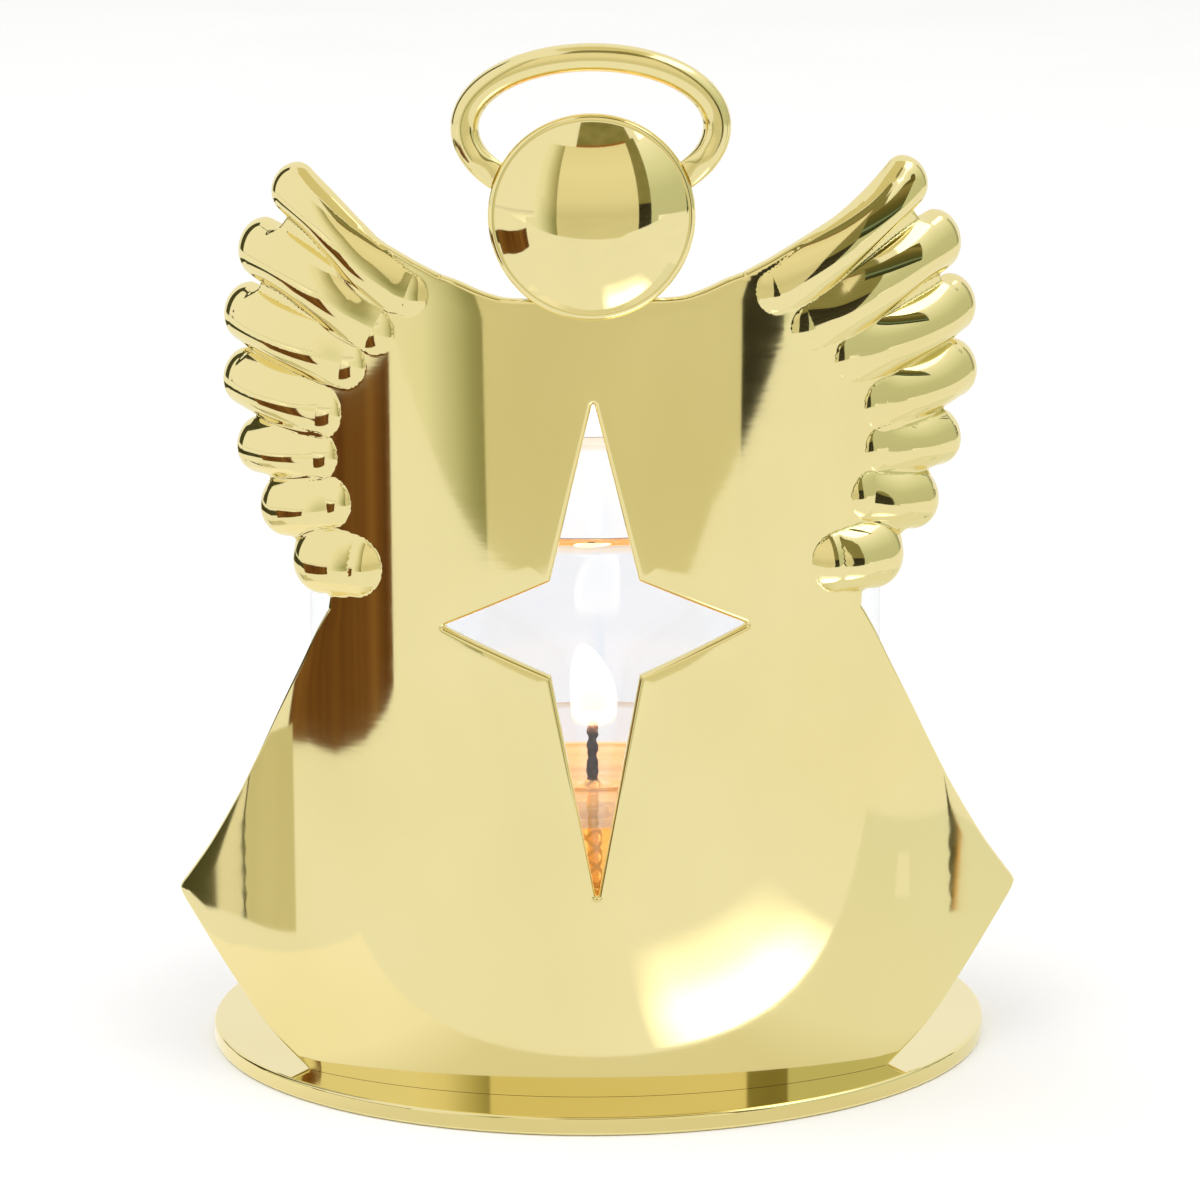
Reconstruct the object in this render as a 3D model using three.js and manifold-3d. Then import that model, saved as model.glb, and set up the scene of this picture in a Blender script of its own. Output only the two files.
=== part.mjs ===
// Angel tealight holder: a round base disc carries a curved upright figure (gown, wings,
// head, halo) with a star cut-out; behind it stand a clear glass cup and a tealight.
// Millimetres, +Z up, the figure faces -Y, origin at the bottom centre of the disc.
import * as THREE from 'three';
import { mergeVertices } from 'three/addons/utils/BufferGeometryUtils.js';
import Module from 'manifold-3d';

// ---- driving dimensions -------------------------------------------------------------
const DISC_R = 38.0;            // base disc radius
const DISC_T = 1.8;             // base disc thickness
const DISC_EDGE = 0.35;         // softened edge of the disc

const PANEL_R = 43.0;           // bend radius of the figure's front face
const PANEL_AXIS_Y = 11.9;      // y of the bend axis
const PANEL_T = 1.2;            // sheet thickness
const BEND_END = 52.0;          // degrees each side; outside this the flanks are straight
const BEND_STEPS = 12;          // facets per side of the bend
const GAP = 0.3;                // joint clearance between brazed or fitted pieces
const FEATHER_BACK = 0.15;      // the feathers' backs lie this far inside the flange's back

const STAR_Z = 46.74;           // height of the star's side tips
const STAR_UP = 21.8, STAR_DOWN = 26.25, STAR_SIDE = 14.7;
const STAR_IN_S = 4.2, STAR_IN_UP = 4.6, STAR_IN_DOWN = 4.4;

const HEAD_Z = 85.5, HEAD_R = 9.6, HEAD_H = 3.5, HEAD_LIP = 0.35;
const TAB_R = 8.9;              // round tab of the panel behind the head

const HALO_Z = 93.6, HALO_A = 11.7, HALO_B = 6.6, HALO_BAR = 1.3;

const BOSS_R = 2.6, BOSS_H = 5.2, BOSS_ANGLE = 33.0;
const SCREW_R = 1.1, SCREW_HEAD_R = 2.3, SCREW_HEAD_H = 1.2, SCREW_LEN = 5.6;
const TAP_R = 1.4, TAP_DEPTH = 4.4;

const CANDLE_Y = 3.0;           // y of the axis that glass and tealight share
const TEA_X = -0.4;             // the tealight stands loose in the cup, a little off its axis
const GLASS_R = 28.0, GLASS_WALL = 3.0, GLASS_BASE = 8.0, GLASS_RIM_Z = 54.0;
const TEA_R = 19.0, TEA_WALL = 0.8, TEA_H = 18.5;
const WAX_H = 13.4;
const SUST_R = 6.0, SUST_T = 0.4, SUST_NECK_R = 1.7, SUST_NECK_H = 5.0;
const WICK_R = 0.65, WICK_TOP_Z = 31.6;

// Flat pattern of the figure, right half, as (s, z): s is measured along the bent face.
const GOWN_FOOT_S = 30.6;
const GOWN_LOWER = [[36.8, 5.35], [42.35, 9.2], [47.25, 12.95], [49.6, 14.8]];
const GOWN_TIP = [[50.3, 15.5], [50.55, 16.1], [50.15, 16.75]];
const GOWN_UPPER = [[49.2, 17.66], [47.85, 18.97], [45.38, 21.44], [43.18, 23.89], [41.2, 26.22],
  [39.27, 28.6], [36.04, 33.1], [33.19, 37.5], [30.49, 41.75], [28.45, 45.2]];
const SEAM = [[27.05, 47.3], [23.0, 47.75], [20.2, 49.4], [18.6, 52.5], [17.2, 62.0], [15.6, 72.0], [14.5, 79.85]];
const SHOULDER_IN = [[12.8, 79.35], [10.6, 78.5], [8.6, 77.95], [7.2, 77.83]];
const SHOULDER_OUT = [[17.0, 80.9], [20.4, 82.5], [23.6, 84.1], [26.4, 85.75], [28.7, 87.4]];

// Feathers from top to bottom: centre line (tip first), half width along it, crest height.
const FEATHERS = [
  { line: [[31.55, 86.75], [28.6, 84.8], [25.3, 82.4], [22.0, 80.2], [18.9, 78.5], [16.9, 77.7]], w: [2.6, 2.25, 2.35, 2.7, 2.55, 2.0], h: [1.5, 1.8, 1.55, 1.1, 0.7, 0.25] },
  { line: [[36.55, 80.75], [33.0, 79.85], [29.0, 78.0], [25.0, 75.9], [22.9, 75.0], [21.3, 74.3]], w: [3.0, 2.9, 2.95, 2.8, 2.5, 2.1], h: [1.6, 2.0, 1.75, 1.05, 0.5, 0.0] },
  { line: [[38.85, 74.4], [35.5, 73.5], [31.5, 72.4], [27.5, 71.4], [25.6, 71.0]], w: [2.95, 2.9, 2.9, 2.7, 2.3], h: [1.6, 2.0, 1.6, 0.75, 0.15] },
  { line: [[39.15, 68.2], [35.5, 67.5], [31.5, 66.6], [28.8, 66.1]], w: [2.9, 2.85, 2.8, 2.4], h: [1.6, 2.0, 1.25, 0.3] },
  { line: [[36.8, 62.0], [33.5, 62.0], [30.0, 61.9], [28.9, 61.9]], w: [2.8, 2.8, 2.6, 2.3], h: [1.6, 1.9, 0.75, 0.35] },
  { line: [[33.4, 56.6], [30.8, 57.0], [28.6, 57.4], [27.4, 57.6]], w: [3.0, 2.95, 2.7, 2.3], h: [1.6, 1.8, 0.95, 0.45] },
  { line: [[28.3, 51.9], [26.6, 51.9], [24.6, 51.85], [23.9, 51.8]], w: [3.3, 3.25, 3.0, 2.8], h: [1.7, 2.0, 1.45, 1.1] },
];
const WING_CORE = [[31.4, 87.4], [32.0, 85.0], [36.5, 80.6], [36.8, 77.6], [39.0, 74.4], [38.0, 71.4], [39.5, 68.2],
  [37.2, 64.8], [37.3, 62.0], [35.2, 59.2], [33.6, 56.2], [32.0, 53.7], [29.0, 51.4], [26.9, 49.2]];
// The two wings differ a little: outward shift of each wing's pattern by height, full from s = 29 outwards.
const WING_TRIM = {
  left: [[45.0, 0.0], [51.6, -0.5], [56.9, -1.1], [62.0, -1.05], [68.2, -1.5], [74.4, -1.6], [80.75, -1.75], [86.75, -1.25], [92.0, -1.25]],
  right: [[45.0, 0.0], [51.6, 0.5], [56.9, 0.6], [62.0, 0.7], [68.2, 0.85], [74.4, 0.85], [80.75, 0.65], [86.75, 0.95], [92.0, 0.95]],
};

// ---- solids ------------------------------------------------------------------------
const wasm = await Module();
wasm.setup();

function toSolid(geometry) {
  let g = geometry.index ? geometry.clone() : geometry.clone();
  for (const name of Object.keys(g.attributes)) if (name !== 'position') g.deleteAttribute(name);
  g = mergeVertices(g, 1e-5);
  const idx = [];
  const a = g.index.array;
  for (let i = 0; i < a.length; i += 3) {
    if (a[i] !== a[i + 1] && a[i + 1] !== a[i + 2] && a[i] !== a[i + 2]) idx.push(a[i], a[i + 1], a[i + 2]);
  }
  return new wasm.Manifold(new wasm.Mesh({
    numProp: 3,
    vertProperties: new Float32Array(g.attributes.position.array),
    triVerts: new Uint32Array(idx),
  }));
}
function fromSolid(solid) {
  const m = solid.getMesh();
  const g = new THREE.BufferGeometry();
  const pos = new Float32Array(m.numVert * 3);
  for (let i = 0; i < m.numVert; i++) for (let k = 0; k < 3; k++) pos[3 * i + k] = m.vertProperties[i * m.numProp + k];
  g.setAttribute('position', new THREE.BufferAttribute(pos, 3));
  g.setIndex(Array.from(m.triVerts));
  return g;
}

const BEND = THREE.MathUtils.degToRad(BEND_END);
const BEND_S = PANEL_R * BEND;
// (s, d, z): s along the front face, d into the sheet (negative = in front of the face).
function bendPoint(s, d, z) {
  const a = Math.abs(s), sign = s < 0 ? -1 : 1;
  let x, y;
  if (a <= BEND_S) {
    const t = a / PANEL_R;
    x = (PANEL_R - d) * Math.sin(t);
    y = PANEL_AXIS_Y - (PANEL_R - d) * Math.cos(t);
  } else {
    x = PANEL_R * Math.sin(BEND) + (a - BEND_S) * Math.cos(BEND) - d * Math.sin(BEND);
    y = PANEL_AXIS_Y - PANEL_R * Math.cos(BEND) + (a - BEND_S) * Math.sin(BEND) + d * Math.cos(BEND);
  }
  return new THREE.Vector3(sign * x, y, z);
}
function bend(geometry) {
  const g = geometry.clone();
  const p = g.attributes.position;
  for (let i = 0; i < p.count; i++) {
    const [s, d, z] = [p.getX(i), p.getY(i), p.getZ(i)].map((c) => Math.round(c * 1000) / 1000);
    const v = bendPoint(s, d, z);
    p.setXYZ(i, v.x, v.y, v.z);
  }
  return g;
}
// Rolls a flat plate: it is cut into upright strips, each strip becomes one facet of the bend.
function roll(flat) {
  const cuts = [-80];
  for (let k = -BEND_STEPS; k <= BEND_STEPS; k++) cuts.push((BEND_S * k) / BEND_STEPS);
  cuts.push(80);
  let whole = null;
  for (let k = 0; k + 1 < cuts.length; k++) {
    const slab = new THREE.BoxGeometry(cuts[k + 1] - cuts[k], 20, 300);
    slab.translate((cuts[k] + cuts[k + 1]) / 2, 0, 0);
    const strip = flat.intersect(toSolid(slab));
    if (strip.isEmpty()) continue;
    const bent = toSolid(bend(fromSolid(strip)));
    whole = whole ? whole.add(bent) : bent;
  }
  return whole;
}

// A flat plate in the (s, z) pattern, from the face (d = 0) to the back (d = thickness).
function plate(outline, holes = [], thickness = PANEL_T) {
  const shape = new THREE.Shape(outline.map(([s, z]) => new THREE.Vector2(s, z)));
  for (const h of holes) shape.holes.push(new THREE.Path(h.map(([s, z]) => new THREE.Vector2(s, z))));
  const g = new THREE.ExtrudeGeometry(shape, { depth: thickness, bevelEnabled: false });
  g.rotateX(Math.PI / 2);
  g.translate(0, thickness, 0);
  return g;
}
const mirrored = (pts) => pts.map(([s, z]) => [-s, z]).reverse();

function lathe(profile, segments) {
  const g = new THREE.LatheGeometry(profile.map(([r, z]) => new THREE.Vector2(r, z)), segments);
  g.rotateX(Math.PI / 2);
  return g;
}
const arc = (cx, cy, r, a0, a1, n) => Array.from({ length: n + 1 }, (_, i) => {
  const a = THREE.MathUtils.degToRad(a0 + ((a1 - a0) * i) / n);
  return [cx + r * Math.cos(a), cy + r * Math.sin(a)];
});

// ---- assembly ----------------------------------------------------------------------
const figure = new THREE.Group();
figure.name = 'angel_tealight_holder';
function piece(name, geometry, colour, roughness, metalness) {
  let g = geometry.clone();
  for (const key of Object.keys(g.attributes)) if (key !== 'position') g.deleteAttribute(key);
  g = mergeVertices(g, 1e-5);
  g = g.toNonIndexed();
  g.computeVertexNormals();
  const mesh = new THREE.Mesh(g, new THREE.MeshStandardMaterial({ color: colour, roughness, metalness }));
  mesh.name = name;
  figure.add(mesh);
  return mesh;
}
const GOLD = [0xe6d48c, 0.12, 1.0];

// base disc with two countersunk holes
const bossPlace = [-1, 1].map((side) => {
  const a = THREE.MathUtils.degToRad(BOSS_ANGLE);
  const r = PANEL_R - PANEL_T - GAP - BOSS_R;
  return [side * r * Math.sin(a), PANEL_AXIS_Y - r * Math.cos(a)];
});
{
  let disc = toSolid(lathe([[0, 0], ...arc(DISC_R - DISC_EDGE, DISC_EDGE, DISC_EDGE, -90, 0, 2),
    ...arc(DISC_R - DISC_EDGE, DISC_T - DISC_EDGE, DISC_EDGE, 0, 90, 2), [0, DISC_T]], 80));
  for (const [x, y] of bossPlace) {
    const sink = lathe([[0, -0.5], [SCREW_HEAD_R + GAP, -0.5], [SCREW_HEAD_R + GAP, 0.15], [SCREW_R + GAP, SCREW_HEAD_H + 0.15],
      [SCREW_R + GAP, DISC_T + 0.5], [0, DISC_T + 0.5]], 24);
    sink.translate(x, y, 0);
    disc = disc.subtract(toSolid(sink));
  }
  piece('base_disc', fromSolid(disc), ...GOLD);
}

// gown, chest and head tab: one rolled sheet
{
  const neckA = Math.asin((77.83 - HEAD_Z) / TAB_R);
  const tab = [];
  for (let i = 0; i <= 20; i++) {
    const a = neckA + ((Math.PI - 2 * neckA) * i) / 20;
    tab.push([TAB_R * Math.cos(a), HEAD_Z + TAB_R * Math.sin(a)]);
  }
  const right = [[GOWN_FOOT_S - 0.75, DISC_T - 0.5], [GOWN_FOOT_S, DISC_T], ...GOWN_LOWER, ...GOWN_TIP, ...GOWN_UPPER, ...SEAM, ...SHOULDER_IN];
  const outline = [...right, ...tab, ...mirrored(right)];
  const star = [[0, STAR_Z - STAR_DOWN], [-STAR_IN_S, STAR_Z - STAR_IN_DOWN], [-STAR_SIDE, STAR_Z], [-STAR_IN_S, STAR_Z + STAR_IN_UP],
    [0, STAR_Z + STAR_UP], [STAR_IN_S, STAR_Z + STAR_IN_UP], [STAR_SIDE, STAR_Z], [STAR_IN_S, STAR_Z - STAR_IN_DOWN]];
  // rolled to shape, then the foot is trimmed flat to stand on the disc
  const trim = new THREE.BoxGeometry(120, 120, 10);
  trim.translate(0, 0, DISC_T - 5);
  const rolled = roll(toSolid(plate(outline, [star])));
  piece('gown_panel', fromSolid(rolled.subtract(toSolid(trim))), ...GOLD);
}

// one feather: a half-round finger with a rounded tip and root, flat at the back
function feather({ line, w, h }) {
  const curve = new THREE.CatmullRomCurve3(line.map(([s, z]) => new THREE.Vector3(s, 0, z)));
  const across = 8, along = 2 * (line.length - 1), round = 3;
  const at = (list, t) => {
    const u = t * (list.length - 1), i = Math.min(Math.floor(u), list.length - 2), f = u - i;
    const q = f * f * (3 - 2 * f) * 0.5 + f * 0.5;
    return list[i] + (list[i + 1] - list[i]) * q;
  };
  const stations = [];
  for (let k = round; k >= 1; k--) stations.push([0, (90 * k) / (round + 0.5)]);
  for (let i = 0; i <= along; i++) stations.push([i / along, 0]);
  for (let k = 1; k <= round; k++) stations.push([1, (-90 * k) / (round + 0.5)]);
  const pts = [], tris = [];
  const ring = (t, deg) => {
    const c = curve.getPoint(t), d = curve.getTangent(t);
    const a = THREE.MathUtils.degToRad(deg), W = at(w, t), H = PANEL_T + at(h, t);
    const shift = -W * Math.sin(a), half = W * Math.cos(a), tall = (H - FEATHER_BACK) * Math.cos(a);
    const start = pts.length;
    for (let j = 0; j <= across; j++) {
      const p = (Math.PI * j) / across;
      const o = half * Math.cos(p);
      pts.push([c.x + d.x * shift - d.z * o, PANEL_T - FEATHER_BACK - tall * Math.sin(p), c.z + d.z * shift + d.x * o]);
    }
    return start;
  };
  const rings = stations.map(([t, deg]) => ring(t, deg));
  const pole = (t, dir) => {
    const c = curve.getPoint(t), d = curve.getTangent(t), W = at(w, t);
    pts.push([c.x + d.x * dir * W, PANEL_T - FEATHER_BACK, c.z + d.z * dir * W]);
    return pts.length - 1;
  };
  const first = pole(0, -1), last = pole(1, 1), n = across + 1;
  for (let r = 0; r + 1 < rings.length; r++) {
    for (let j = 0; j < n; j++) {
      const a = rings[r] + j, b = rings[r] + ((j + 1) % n), c = rings[r + 1] + j, e = rings[r + 1] + ((j + 1) % n);
      tris.push([a, b, c], [b, e, c]);
    }
  }
  for (let j = 0; j < n; j++) {
    tris.push([first, rings[0] + ((j + 1) % n), rings[0] + j]);
    tris.push([last, rings[rings.length - 1] + j, rings[rings.length - 1] + ((j + 1) % n)]);
  }
  const g = new THREE.BufferGeometry();
  g.setAttribute('position', new THREE.BufferAttribute(new Float32Array(pts.flat()), 3));
  g.setIndex(tris.flat());
  if (toSolid(g).volume() < 0) g.setIndex(tris.map(([a, b, c]) => [a, c, b]).flat());
  return g;
}
function trimmed(side, [s, z]) {
  const list = WING_TRIM[side];
  let i = 0;
  while (i + 2 < list.length && z > list[i + 1][0]) i++;
  const f = THREE.MathUtils.clamp((z - list[i][0]) / (list[i + 1][0] - list[i][0]), 0, 1);
  const full = list[i][1] + (list[i + 1][1] - list[i][1]) * f;
  return [s + full * THREE.MathUtils.smoothstep(s, 20, 29), z];
}
for (const side of ['left', 'right']) {
  // the wing's flange stops short of the panel along the seam
  const inner = SEAM.map(([s, z], i) => {
    const p = SEAM[Math.max(i - 1, 0)], q = SEAM[Math.min(i + 1, SEAM.length - 1)];
    const l = Math.hypot(q[0] - p[0], q[1] - p[1]);
    return [s + ((q[1] - p[1]) / l) * GAP, z - ((q[0] - p[0]) / l) * GAP];
  }).reverse();
  const outer = [...WING_CORE.slice().reverse(), ...SHOULDER_OUT.slice().reverse()].map((p) => trimmed(side, p));
  let wing = roll(toSolid(plate([...inner, ...outer])));
  for (const f of FEATHERS) wing = wing.add(toSolid(bend(feather({ ...f, line: f.line.map((p) => trimmed(side, p)) }))));
  const g = fromSolid(wing);
  if (side === 'left') {
    g.scale(-1, 1, 1);
    const ix = g.index.array;
    for (let i = 0; i < ix.length; i += 3) [ix[i + 1], ix[i + 2]] = [ix[i + 2], ix[i + 1]];
  }
  piece(side + '_wing', g, ...GOLD);
}

// domed head, bent to lie on the round tab
{
  const ball = ((HEAD_R - HEAD_LIP) ** 2 + (HEAD_H - 0.6) ** 2) / (2 * (HEAD_H - 0.6));
  const open = THREE.MathUtils.radToDeg(Math.asin((HEAD_R - HEAD_LIP) / ball));
  const cap = arc(0, HEAD_H - ball, ball, 90 - open, 90, 5).map(([r, z]) => [Math.max(r, 0), z]);
  cap[cap.length - 1][0] = 0;
  const g = lathe([[0, 0], [HEAD_R / 3, 0], [(HEAD_R * 2) / 3, 0], [HEAD_R, 0], [HEAD_R, 0.45], [HEAD_R - 0.15, 0.6], ...cap], 36);
  g.rotateX(Math.PI / 2);                       // the dome's axis now points to the front
  g.translate(0, -GAP, HEAD_Z);
  piece('head_dome', bend(fromSolid(toSolid(g))), ...GOLD);
}

// halo: round bar on an oval path, its ends shaped to the sides of the head
{
  const pts = [];
  for (let i = 0; i <= 24; i++) {
    const a = THREE.MathUtils.degToRad(-44 + (268 * i) / 24);
    pts.push(bendPoint(HALO_A * Math.cos(a), 0, HALO_Z + HALO_B * Math.sin(a)));
  }
  const section = new THREE.Shape();
  section.absarc(0, 0, HALO_BAR, 0, Math.PI * 2);
  const bar = new THREE.ExtrudeGeometry(section, { steps: 40, curveSegments: 6, bevelEnabled: false, extrudePath: new THREE.CatmullRomCurve3(pts) });
  const clear = new THREE.CylinderGeometry(HEAD_R + GAP, HEAD_R + GAP, 30, 64);
  clear.translate(0, -31, 0);
  clear.translate(0, 0, HEAD_Z);
  let solid = toSolid(bar);
  if (solid.volume() < 0) throw new Error('halo is inside out');
  solid = solid.subtract(toSolid(clear));
  piece('halo_ring', fromSolid(solid), ...GOLD);
}

// tapped feet behind the panel, and the screws from below
bossPlace.forEach(([x, y], i) => {
  const side = i ? 'right' : 'left';
  const boss = lathe([[TAP_R, DISC_T], [BOSS_R, DISC_T], [BOSS_R, DISC_T + BOSS_H - 0.5], [BOSS_R - 0.5, DISC_T + BOSS_H], [0, DISC_T + BOSS_H],
    [0, DISC_T + TAP_DEPTH + 0.6], [TAP_R, DISC_T + TAP_DEPTH], [TAP_R, DISC_T]], 24);
  boss.translate(x, y, 0);
  piece('foot_boss_' + side, boss, ...GOLD);
  const slotDepth = 0.5;
  let screw = toSolid(lathe([[0, 0.15], [SCREW_HEAD_R, 0.15], [SCREW_HEAD_R, 0.3], [SCREW_R, 0.3 + SCREW_HEAD_H], [SCREW_R, SCREW_LEN], [SCREW_R - 0.3, SCREW_LEN + 0.2], [0, SCREW_LEN + 0.2]], 24));
  const slot = new THREE.BoxGeometry(0.6, 6, slotDepth * 2);
  slot.translate(0, 0, 0.15);
  screw = screw.subtract(toSolid(slot));
  const g = fromSolid(screw);
  g.translate(x, y, 0);
  piece('screw_' + side, g, 0xb9b6ae, 0.35, 1.0);
});

// clear glass cup with a thick base
const floorZ = DISC_T + GLASS_BASE;
{
  const ri = GLASS_R - GLASS_WALL, lip = GLASS_WALL / 2;
  const g = lathe([[0, DISC_T], ...arc(GLASS_R - 1.6, DISC_T + 1.6, 1.6, -90, 0, 2), ...arc(GLASS_R - lip, GLASS_RIM_Z - lip, lip, 0, 180, 4),
    ...arc(ri - 3, floorZ + 3, 3, 0, -90, 2), [0, floorZ]], 48);
  g.translate(0, CANDLE_Y, 0);
  piece('glass_cup', g, 0xf4f7f4, 0.03, 0.0);
}

// tealight: clear cup, wax, wick foot and wick
const teaTop = floorZ + TEA_H, waxBottom = floorZ + TEA_WALL, waxTop = waxBottom + WAX_H;
{
  const g = lathe([[0, floorZ], [TEA_R - 0.8, floorZ], [TEA_R, floorZ + 0.8], [TEA_R, teaTop - 0.3], [TEA_R - 0.3, teaTop], [TEA_R - TEA_WALL + 0.2, teaTop],
    [TEA_R - TEA_WALL, teaTop - 0.3], [TEA_R - TEA_WALL, waxBottom + 0.6], [TEA_R - TEA_WALL - 0.6, waxBottom], [0, waxBottom]], 44);
  g.translate(TEA_X, CANDLE_Y, 0);
  piece('tealight_cup', g, 0xf2f4f2, 0.05, 0.0);
}
{
  const r = TEA_R - TEA_WALL - GAP, b = WICK_R + GAP;
  const neckTop = waxBottom + SUST_NECK_H + GAP, plateTop = waxBottom + SUST_T + GAP;
  const g = lathe([[SUST_R + GAP, waxBottom], [r - 0.6, waxBottom], [r, waxBottom + 0.6 + GAP], [r, waxTop], [b, waxTop], [b, neckTop],
    [SUST_NECK_R + GAP, neckTop], [SUST_NECK_R + GAP, plateTop], [SUST_R + GAP, plateTop], [SUST_R + GAP, waxBottom]], 44);
  g.translate(TEA_X, CANDLE_Y, 0);
  piece('tealight_wax', g, 0xe9b765, 0.15, 0.0);
}
{
  const b = WICK_R + GAP;
  const g = lathe([[b, waxBottom], [SUST_R, waxBottom], [SUST_R, waxBottom + SUST_T], [SUST_NECK_R, waxBottom + SUST_T], [SUST_NECK_R, waxBottom + SUST_NECK_H],
    [b, waxBottom + SUST_NECK_H], [b, waxBottom]], 28);
  g.translate(TEA_X, CANDLE_Y, 0);
  piece('wick_sustainer', g, 0xb5b3ad, 0.4, 1.0);
}
{
  const pts = [[0, 0, waxBottom], [0, 0, waxTop + 1.2], [0.02, 0.01, waxTop + 3.0], [0.08, 0.03, WICK_TOP_Z - 1.6], [0.18, 0.04, WICK_TOP_Z - 0.1]].map(([x, y, z]) => new THREE.Vector3(TEA_X + x, CANDLE_Y + y, z));
  const section = new THREE.Shape();
  section.absarc(0, 0, WICK_R, 0, Math.PI * 2);
  const g = new THREE.ExtrudeGeometry(section, { steps: 14, curveSegments: 4, bevelEnabled: false, extrudePath: new THREE.CatmullRomCurve3(pts) });
  piece('wick', g, 0x2b2724, 0.9, 0.0);
}

export default figure;
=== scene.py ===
import math

import bpy
import numpy as np
from mathutils import Matrix, Vector
from mathutils.geometry import delaunay_2d_cdt


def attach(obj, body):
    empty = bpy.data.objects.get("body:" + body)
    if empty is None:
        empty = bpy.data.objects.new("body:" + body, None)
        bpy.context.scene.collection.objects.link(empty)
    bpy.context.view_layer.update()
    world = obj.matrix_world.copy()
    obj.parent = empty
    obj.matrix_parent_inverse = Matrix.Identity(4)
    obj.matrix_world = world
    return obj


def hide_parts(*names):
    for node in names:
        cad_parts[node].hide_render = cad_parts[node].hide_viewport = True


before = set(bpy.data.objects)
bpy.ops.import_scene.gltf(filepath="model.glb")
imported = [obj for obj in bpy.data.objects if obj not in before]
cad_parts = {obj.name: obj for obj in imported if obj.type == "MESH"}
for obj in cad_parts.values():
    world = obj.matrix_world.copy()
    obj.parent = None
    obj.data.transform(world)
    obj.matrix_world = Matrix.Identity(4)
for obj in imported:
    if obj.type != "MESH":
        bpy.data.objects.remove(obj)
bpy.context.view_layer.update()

MM = 0.001

# ---- dimensions, in millimetres, as in the CAD model ---------------------------------
DISC_R, DISC_T, DISC_EDGE = 38.0, 1.8, 0.35
PANEL_R, PANEL_AXIS_Y, PANEL_T = 43.0, 11.9, 1.2
BEND = math.radians(52.0)
BEND_S = PANEL_R * BEND
STAR_Z, STAR_UP, STAR_DOWN, STAR_SIDE = 46.74, 21.8, 26.25, 14.7
STAR_IN_S, STAR_IN_UP, STAR_IN_DOWN = 4.2, 4.6, 4.4
HEAD_Z, HEAD_R, HEAD_H, TAB_R = 85.5, 9.6, 3.5, 8.9
HALO_Z, HALO_A, HALO_B, HALO_BAR = 93.6, 11.7, 6.6, 1.3
BOSS_R, BOSS_H, BOSS_ANGLE = 2.6, 5.2, math.radians(33.0)
SCREW_R, SCREW_HEAD_R, SCREW_HEAD_H, GAP = 1.1, 2.3, 1.2, 0.3
TAP_R, TAP_DEPTH = 1.4, 4.4
CANDLE_Y, TEA_X = 3.0, -0.4
GLASS_R, GLASS_WALL, GLASS_BASE, GLASS_RIM_Z = 28.0, 3.0, 8.0, 54.0
FLOOR_Z = DISC_T + GLASS_BASE
TEA_R, TEA_WALL, TEA_H, WAX_H = 19.0, 0.8, 18.5, 13.4
SUST_R, SUST_T, SUST_NECK_R, SUST_NECK_H = 6.0, 0.4, 1.7, 5.0
WICK_R, WICK_TOP_Z = 0.65, 31.6
EDGE = 0.45                     # rounding of the sheet's front edges
BACK_EDGE = 0.28                # rounding of its back edges
ROLL, ROLL_W = 0.05, 2.2        # polishing rolls the face off a little next to an edge

GOWN_FOOT_S = 30.6
GOWN_LOWER = [[36.8, 5.35], [42.35, 9.2], [47.25, 12.95], [49.6, 14.8]]
GOWN_TIP = [[50.3, 15.5], [50.55, 16.1], [50.15, 16.75]]
GOWN_UPPER = [[49.2, 17.66], [47.85, 18.97], [45.38, 21.44], [43.18, 23.89], [41.2, 26.22],
              [39.27, 28.6], [36.04, 33.1], [33.19, 37.5], [30.49, 41.75], [28.45, 45.2]]
SEAM = [[27.05, 47.3], [23.0, 47.75], [20.2, 49.4], [18.6, 52.5], [17.2, 62.0], [15.6, 72.0], [14.5, 79.85]]
SHOULDER_IN = [[12.8, 79.35], [10.6, 78.5], [8.6, 77.95], [7.2, 77.83]]
SHOULDER_OUT = [[17.0, 80.9], [20.4, 82.5], [23.6, 84.1], [26.4, 85.75], [28.7, 87.4]]
FEATHERS = [
    ([[31.55, 86.75], [28.6, 84.8], [25.3, 82.4], [22.0, 80.2], [19.2, 78.6], [17.6, 78.0]],
     [2.6, 2.25, 2.35, 2.65, 2.45, 1.95], [1.5, 1.8, 1.55, 1.1, 0.6, 0.1]),
    ([[36.55, 80.75], [33.0, 79.85], [29.0, 78.0], [25.0, 75.9], [22.9, 75.0], [21.3, 74.3]],
     [3.0, 2.9, 2.95, 2.8, 2.5, 2.1], [1.6, 2.0, 1.75, 1.05, 0.5, 0.0]),
    ([[38.85, 74.4], [35.5, 73.5], [31.5, 72.4], [27.5, 71.4], [25.6, 71.0]],
     [2.95, 2.9, 2.9, 2.7, 2.3], [1.6, 2.0, 1.6, 0.75, 0.15]),
    ([[39.15, 68.2], [35.5, 67.5], [31.5, 66.6], [28.8, 66.1]],
     [2.9, 2.85, 2.8, 2.4], [1.6, 2.0, 1.25, 0.3]),
    ([[36.8, 62.0], [33.5, 62.0], [30.0, 61.9], [28.9, 61.9]],
     [2.8, 2.8, 2.6, 2.3], [1.6, 1.9, 0.75, 0.35]),
    ([[33.4, 56.6], [30.8, 57.0], [28.6, 57.4], [27.4, 57.6]],
     [3.0, 2.95, 2.7, 2.3], [1.6, 1.8, 0.95, 0.45]),
    ([[28.3, 51.9], [26.6, 51.9], [24.6, 51.85], [23.9, 51.8]],
     [3.3, 3.25, 3.0, 2.8], [1.7, 2.0, 1.45, 1.1]),
]
WING_CORE = [[31.4, 87.4], [32.0, 85.0], [36.5, 80.6], [36.8, 77.6], [39.0, 74.4], [38.0, 71.4], [39.5, 68.2],
             [37.2, 64.8], [37.3, 62.0], [35.2, 59.2], [33.6, 56.2], [32.0, 53.7], [29.0, 51.4], [26.9, 49.2]]
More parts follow.
